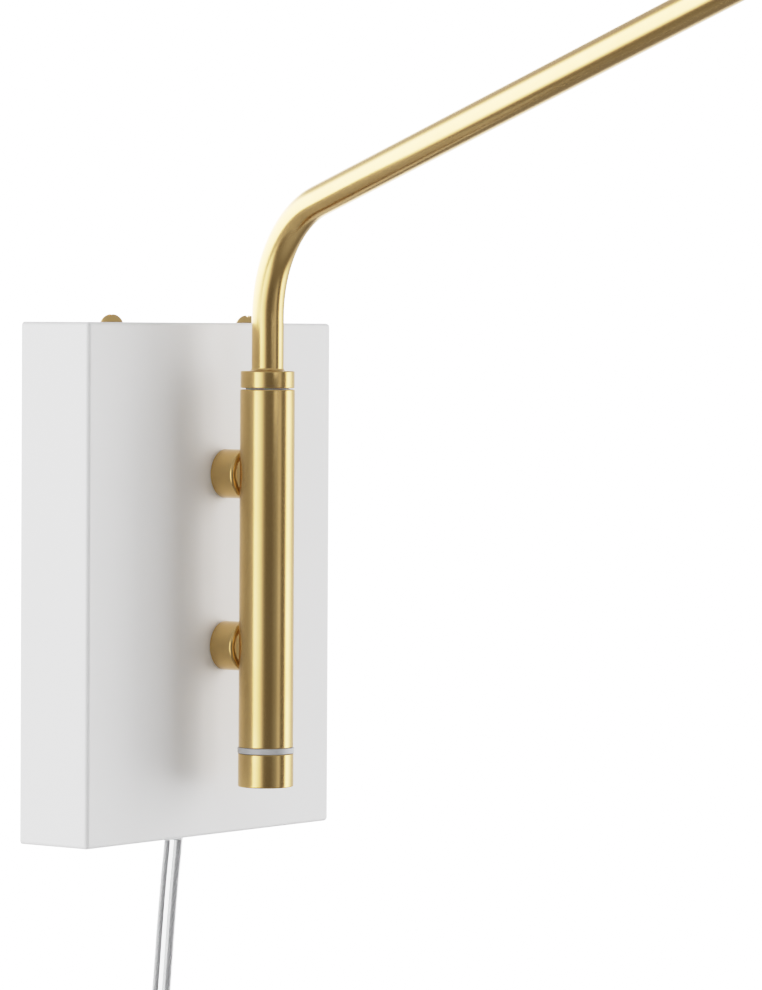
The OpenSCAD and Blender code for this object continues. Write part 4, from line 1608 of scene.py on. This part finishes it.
class HeadUnit(Assembly):
    """The tilting head: tongue, socket cup, lamp socket, shade and bulb."""

    body = "head"
    sizes = HeadSizes()

    def turned(self, name: str, outline: Iterable[tuple[float, float]], closed: bool = True,
               sharp: float = 38.0) -> bpy.types.Object:
        """Turn an outline in millimetres about the head's axis.

        Args:
            name: The piece's name.
            outline: Pairs of radius and distance below the pivot.
            closed: Whether the outline is closed.
            sharp: The angle over which an edge stays sharp, in degrees.

        Returns:
            The piece.
        """
        return lathe(name, list(outline), self.frames.head, closed, 128, sharp)

    def cup(self) -> bpy.types.Object:
        """Make the drawn brass cup over the socket, with a rolled bead at its edge."""
        s = self.sizes
        corners = [(s.stem_r, s.cup_top, 0), (s.cup_r - 3, s.cup_top, 0), (s.cup_r - 1, s.cup_top + 0.8, 1.2),
                   (s.cup_r, s.cup_top + 3, 1.6), (s.cup_r, s.cup_bottom - 3.4, 0.2),
                   (s.cup_r - 0.35, s.cup_bottom - 3.0, 0.2), (s.cup_r - 0.35, s.cup_bottom - 2.4, 0.2),
                   (s.cup_r, s.cup_bottom - 2.0, 0.3), (s.cup_r, s.cup_bottom, 0.5),
                   (s.cup_r - s.cup_t, s.cup_bottom, 0.4), (s.cup_r - s.cup_t, s.cup_top + s.cup_t, 0),
                   (s.stem_r, s.cup_top + s.cup_t, 0)]
        cup = self.turned("socket_shell", eased(corners, closed=True))
        return carved(cup, rod("switch_hole", self.frames.knob, s.switch_hole, 14, 24))

    def socket(self) -> bpy.types.Object:
        """Make the lamp socket with its outer thread for the shade ring."""
        s = self.sizes
        outline = [(0, s.socket_top), (s.socket_r - 0.6, s.socket_top), (s.socket_r, s.socket_top + 0.6)]
        z = s.shade_top + 1.4
        outline.append((s.socket_r, z - 0.4))
        while z < s.socket_bottom - 1.6:
            groove = s.socket_r - 0.45
            outline += [(groove, z), (groove, z + 0.5), (s.socket_r, z + 0.75), (s.socket_r, z + 1.2)]
            z += 1.6
        outline += [(s.socket_r, s.socket_bottom - 0.5), (s.socket_r - 0.5, s.socket_bottom),
                    (s.socket_bore + 0.5, s.socket_bottom), (s.socket_bore, s.socket_bottom - 0.5),
                    (s.socket_bore, s.socket_top + 16), (0, s.socket_top + 16)]
        body = self.turned("socket_body", outline, closed=False)
        return carved(body, rod("stem_hole", self.frames.knob, s.switch_hole, 11, 21))

    def shade(self) -> bpy.types.Object:
        """Make the spun shade: flat crown, round shoulder, straight flare."""
        s = self.sizes
        flare = math.atan((s.rim_r - 30) / (s.shade_h - 4))
        low = s.shade_top + s.shade_h
        centre = (s.rim_r - (s.shade_h - s.shoulder_r) * math.tan(flare) - s.shoulder_r / math.cos(flare),
                  s.shade_top + s.shoulder_r)
        turn = math.degrees(flare)
        thick = s.sheet / math.cos(flare)
        outer = [(s.neck_r, s.shade_top), *arc(centre, s.shoulder_r, -90, -turn, 16)]
        inner = arc(centre, s.shoulder_r - s.sheet, -turn, -90, 16) + [(s.neck_r, s.shade_top + s.sheet)]
        steps = 14
        r, z = outer[-1]
        side = [(r + (s.rim_r - r) * k / steps, z + (low - z) * k / steps) for k in range(1, steps + 1)]
        back = [(r - thick, z) for r, z in reversed(side)]
        return self.turned("shade_cone", [*outer, *side, *back, *inner], sharp=60.0)

    def rim(self) -> bpy.types.Object:
        """Make the rolled wire edge of the shade."""
        s = self.sizes
        centre = (s.rim_r - s.wire_r / 2, s.shade_top + s.shade_h)
        return self.turned("shade_rim", arc(centre, s.wire_r, 0, 345, 23), sharp=80.0)

    def bulb(self) -> bpy.types.Object:
        """Make the bulb's frosted glass shell."""
        s = self.sizes

        def half(inside: float) -> list[tuple[float, float]]:
            """Return the shell's line from neck to tip, some way inside the glass."""
            start = math.degrees(math.asin((s.bulb_neck + 2) / s.bulb_r)) - 90
            neck = s.bulb_neck - inside
            ball = arc((0, s.bulb_mid), s.bulb_r - inside, start, 90, 40)
            knots = [(neck, s.bulb_seam, 0.0), (neck, s.bulb_seam + 4, 0.0),
                     (neck + 0.4, s.bulb_seam + 12, 3.0)]
            return eased([*knots, (*ball[0], 2.0), (*ball[1], 0.0)], closed=False)[:-1] + ball[1:]

        outer, inner = half(0.0), half(s.glass)
        outline = [*reversed(inner), *outer]
        outline[0], outline[-1] = (0, outline[0][1]), (0, outline[-1][1])
        return self.turned("bulb_shell", outline, closed=False, sharp=60.0)

    def base(self) -> bpy.types.Object:
        """Make the bulb's threaded base."""
        s = self.sizes
        outline = [(0, 55), (3.6, 55), (4, 55.4), (6, 57.5), (11.6, 59.6)]
        z = 60.6
        while z < s.bulb_seam - 3:
            for k in range(8):
                outline.append((s.base_r - 0.55 + 0.5 * math.cos(k * math.pi / 4), z + 3.4 * k / 8))
            z += 3.4
        outline += [(s.base_r - 0.2, s.bulb_seam - 0.6), (s.base_r - 0.2, s.bulb_seam),
                    (s.base_r - 1.0, s.bulb_seam), (s.base_r - 1.6, 61), (6, 58.5), (0, 58.5)]
        return self.turned("bulb_screw_base", outline, closed=False, sharp=55.0)

    def build(self) -> None:
        """Make every piece of the head."""
        self.add(machined("knuckle_tongue", 0.35 * MM), BRASS_CAST, "knuckle_tongue", slot="brass")
        self.add(self.cup(), BRASS_TURNED, "socket_cup", slot="brass")
        self.add(self.socket(), PHENOLIC, "lamp_socket", slot="phenolic")
        coat = PowderCoat((0.86, 0.86, 0.86), (0.83, 0.83, 0.83))
        self.add(self.shade(), coat, "shade", slot="white_coat")
        self.add(self.rim(), coat, slot="white_coat")
        self.add(self.bulb(), FrostedGlass(), "bulb_glass", slot="frosted_glass")
        self.add(self.base(), NICKEL, "bulb_base", slot="nickel")
        self.add(machined("shade_ring", 0.3 * MM), PHENOLIC, "shade_ring", slot="phenolic")
        self.keep(ZINC, "stem_nut")
        self.keep(INSULATION, "socket_leads")


@dataclass
class SwitchUnit(Assembly):
    """The turning switch knob on its stem."""

    frames: Frames
    radius: float = 5.5
    start: float = 21.0
    long: float = 9.0
    stem_r: float = 2.0
    flutes: int = 15
    body = "switch_knob"
    count = 0

    def knob(self) -> bpy.types.Object:
        """Make the fluted knob with a domed end."""
        draft, sides = Draft(), self.flutes * 8
        end = self.start + self.long
        hole = end - 3
        outline = [(0, hole, 0.0), (self.stem_r, hole, 0.0), (self.stem_r, self.start, 0.0),
                   (5.0, self.start, 0.0),
                   (self.radius, self.start + 0.5, 0.2), (self.radius, self.start + 1.5, 0.4),
                   (self.radius, self.start + 2.0, 1.0), (self.radius, end - 1.4, 1.0), (5.3, end - 0.7, 1.0),
                   (4.6, end - 0.2, 0.6), (3.2, end, 0.1), (0, end, 0.0)]
        rows = []
        for radius, z, depth in outline:
            row = []
            for k in range(sides):
                a = 2 * math.pi * k / sides
                dip = 0.5 * depth * max(0.0, math.cos(self.flutes * a)) ** 2
                bar = radius - dip
                row.append(self.frames.knob @ (Vector((bar * math.cos(a), bar * math.sin(a), z)) * MM))
            rows.append(row)
        draft.grid(rows, shares(sides), shares(len(rows)))
        return draft.object("knob", None, 45.0)

    def build(self) -> None:
        """Make the knob and dress its stem."""
        self.add(self.knob(), BLACK, "switch_knob", slot="black_knob")
        self.keep(BRASS_CAST, "switch_stem")


# ---------------------------------------------------------------- the whole


def main() -> None:
    """Build the sconce, the camera and the cord first."""
    logging.basicConfig(level=logging.INFO, format="%(name)s: %(message)s")
    Studio().build()
    frames = Frames()
    makers: list[Callable[[Frames], Assembly]] = [
        CordUnit, BoxUnit, BarrelUnit, ArmUnit, HeadUnit, SwitchUnit]
    for maker in makers:
        unit = maker(frames)
        unit.build()
        log.info("%s: %d pieces", maker.__name__, unit.count)


if __name__ == "__main__":
    main()
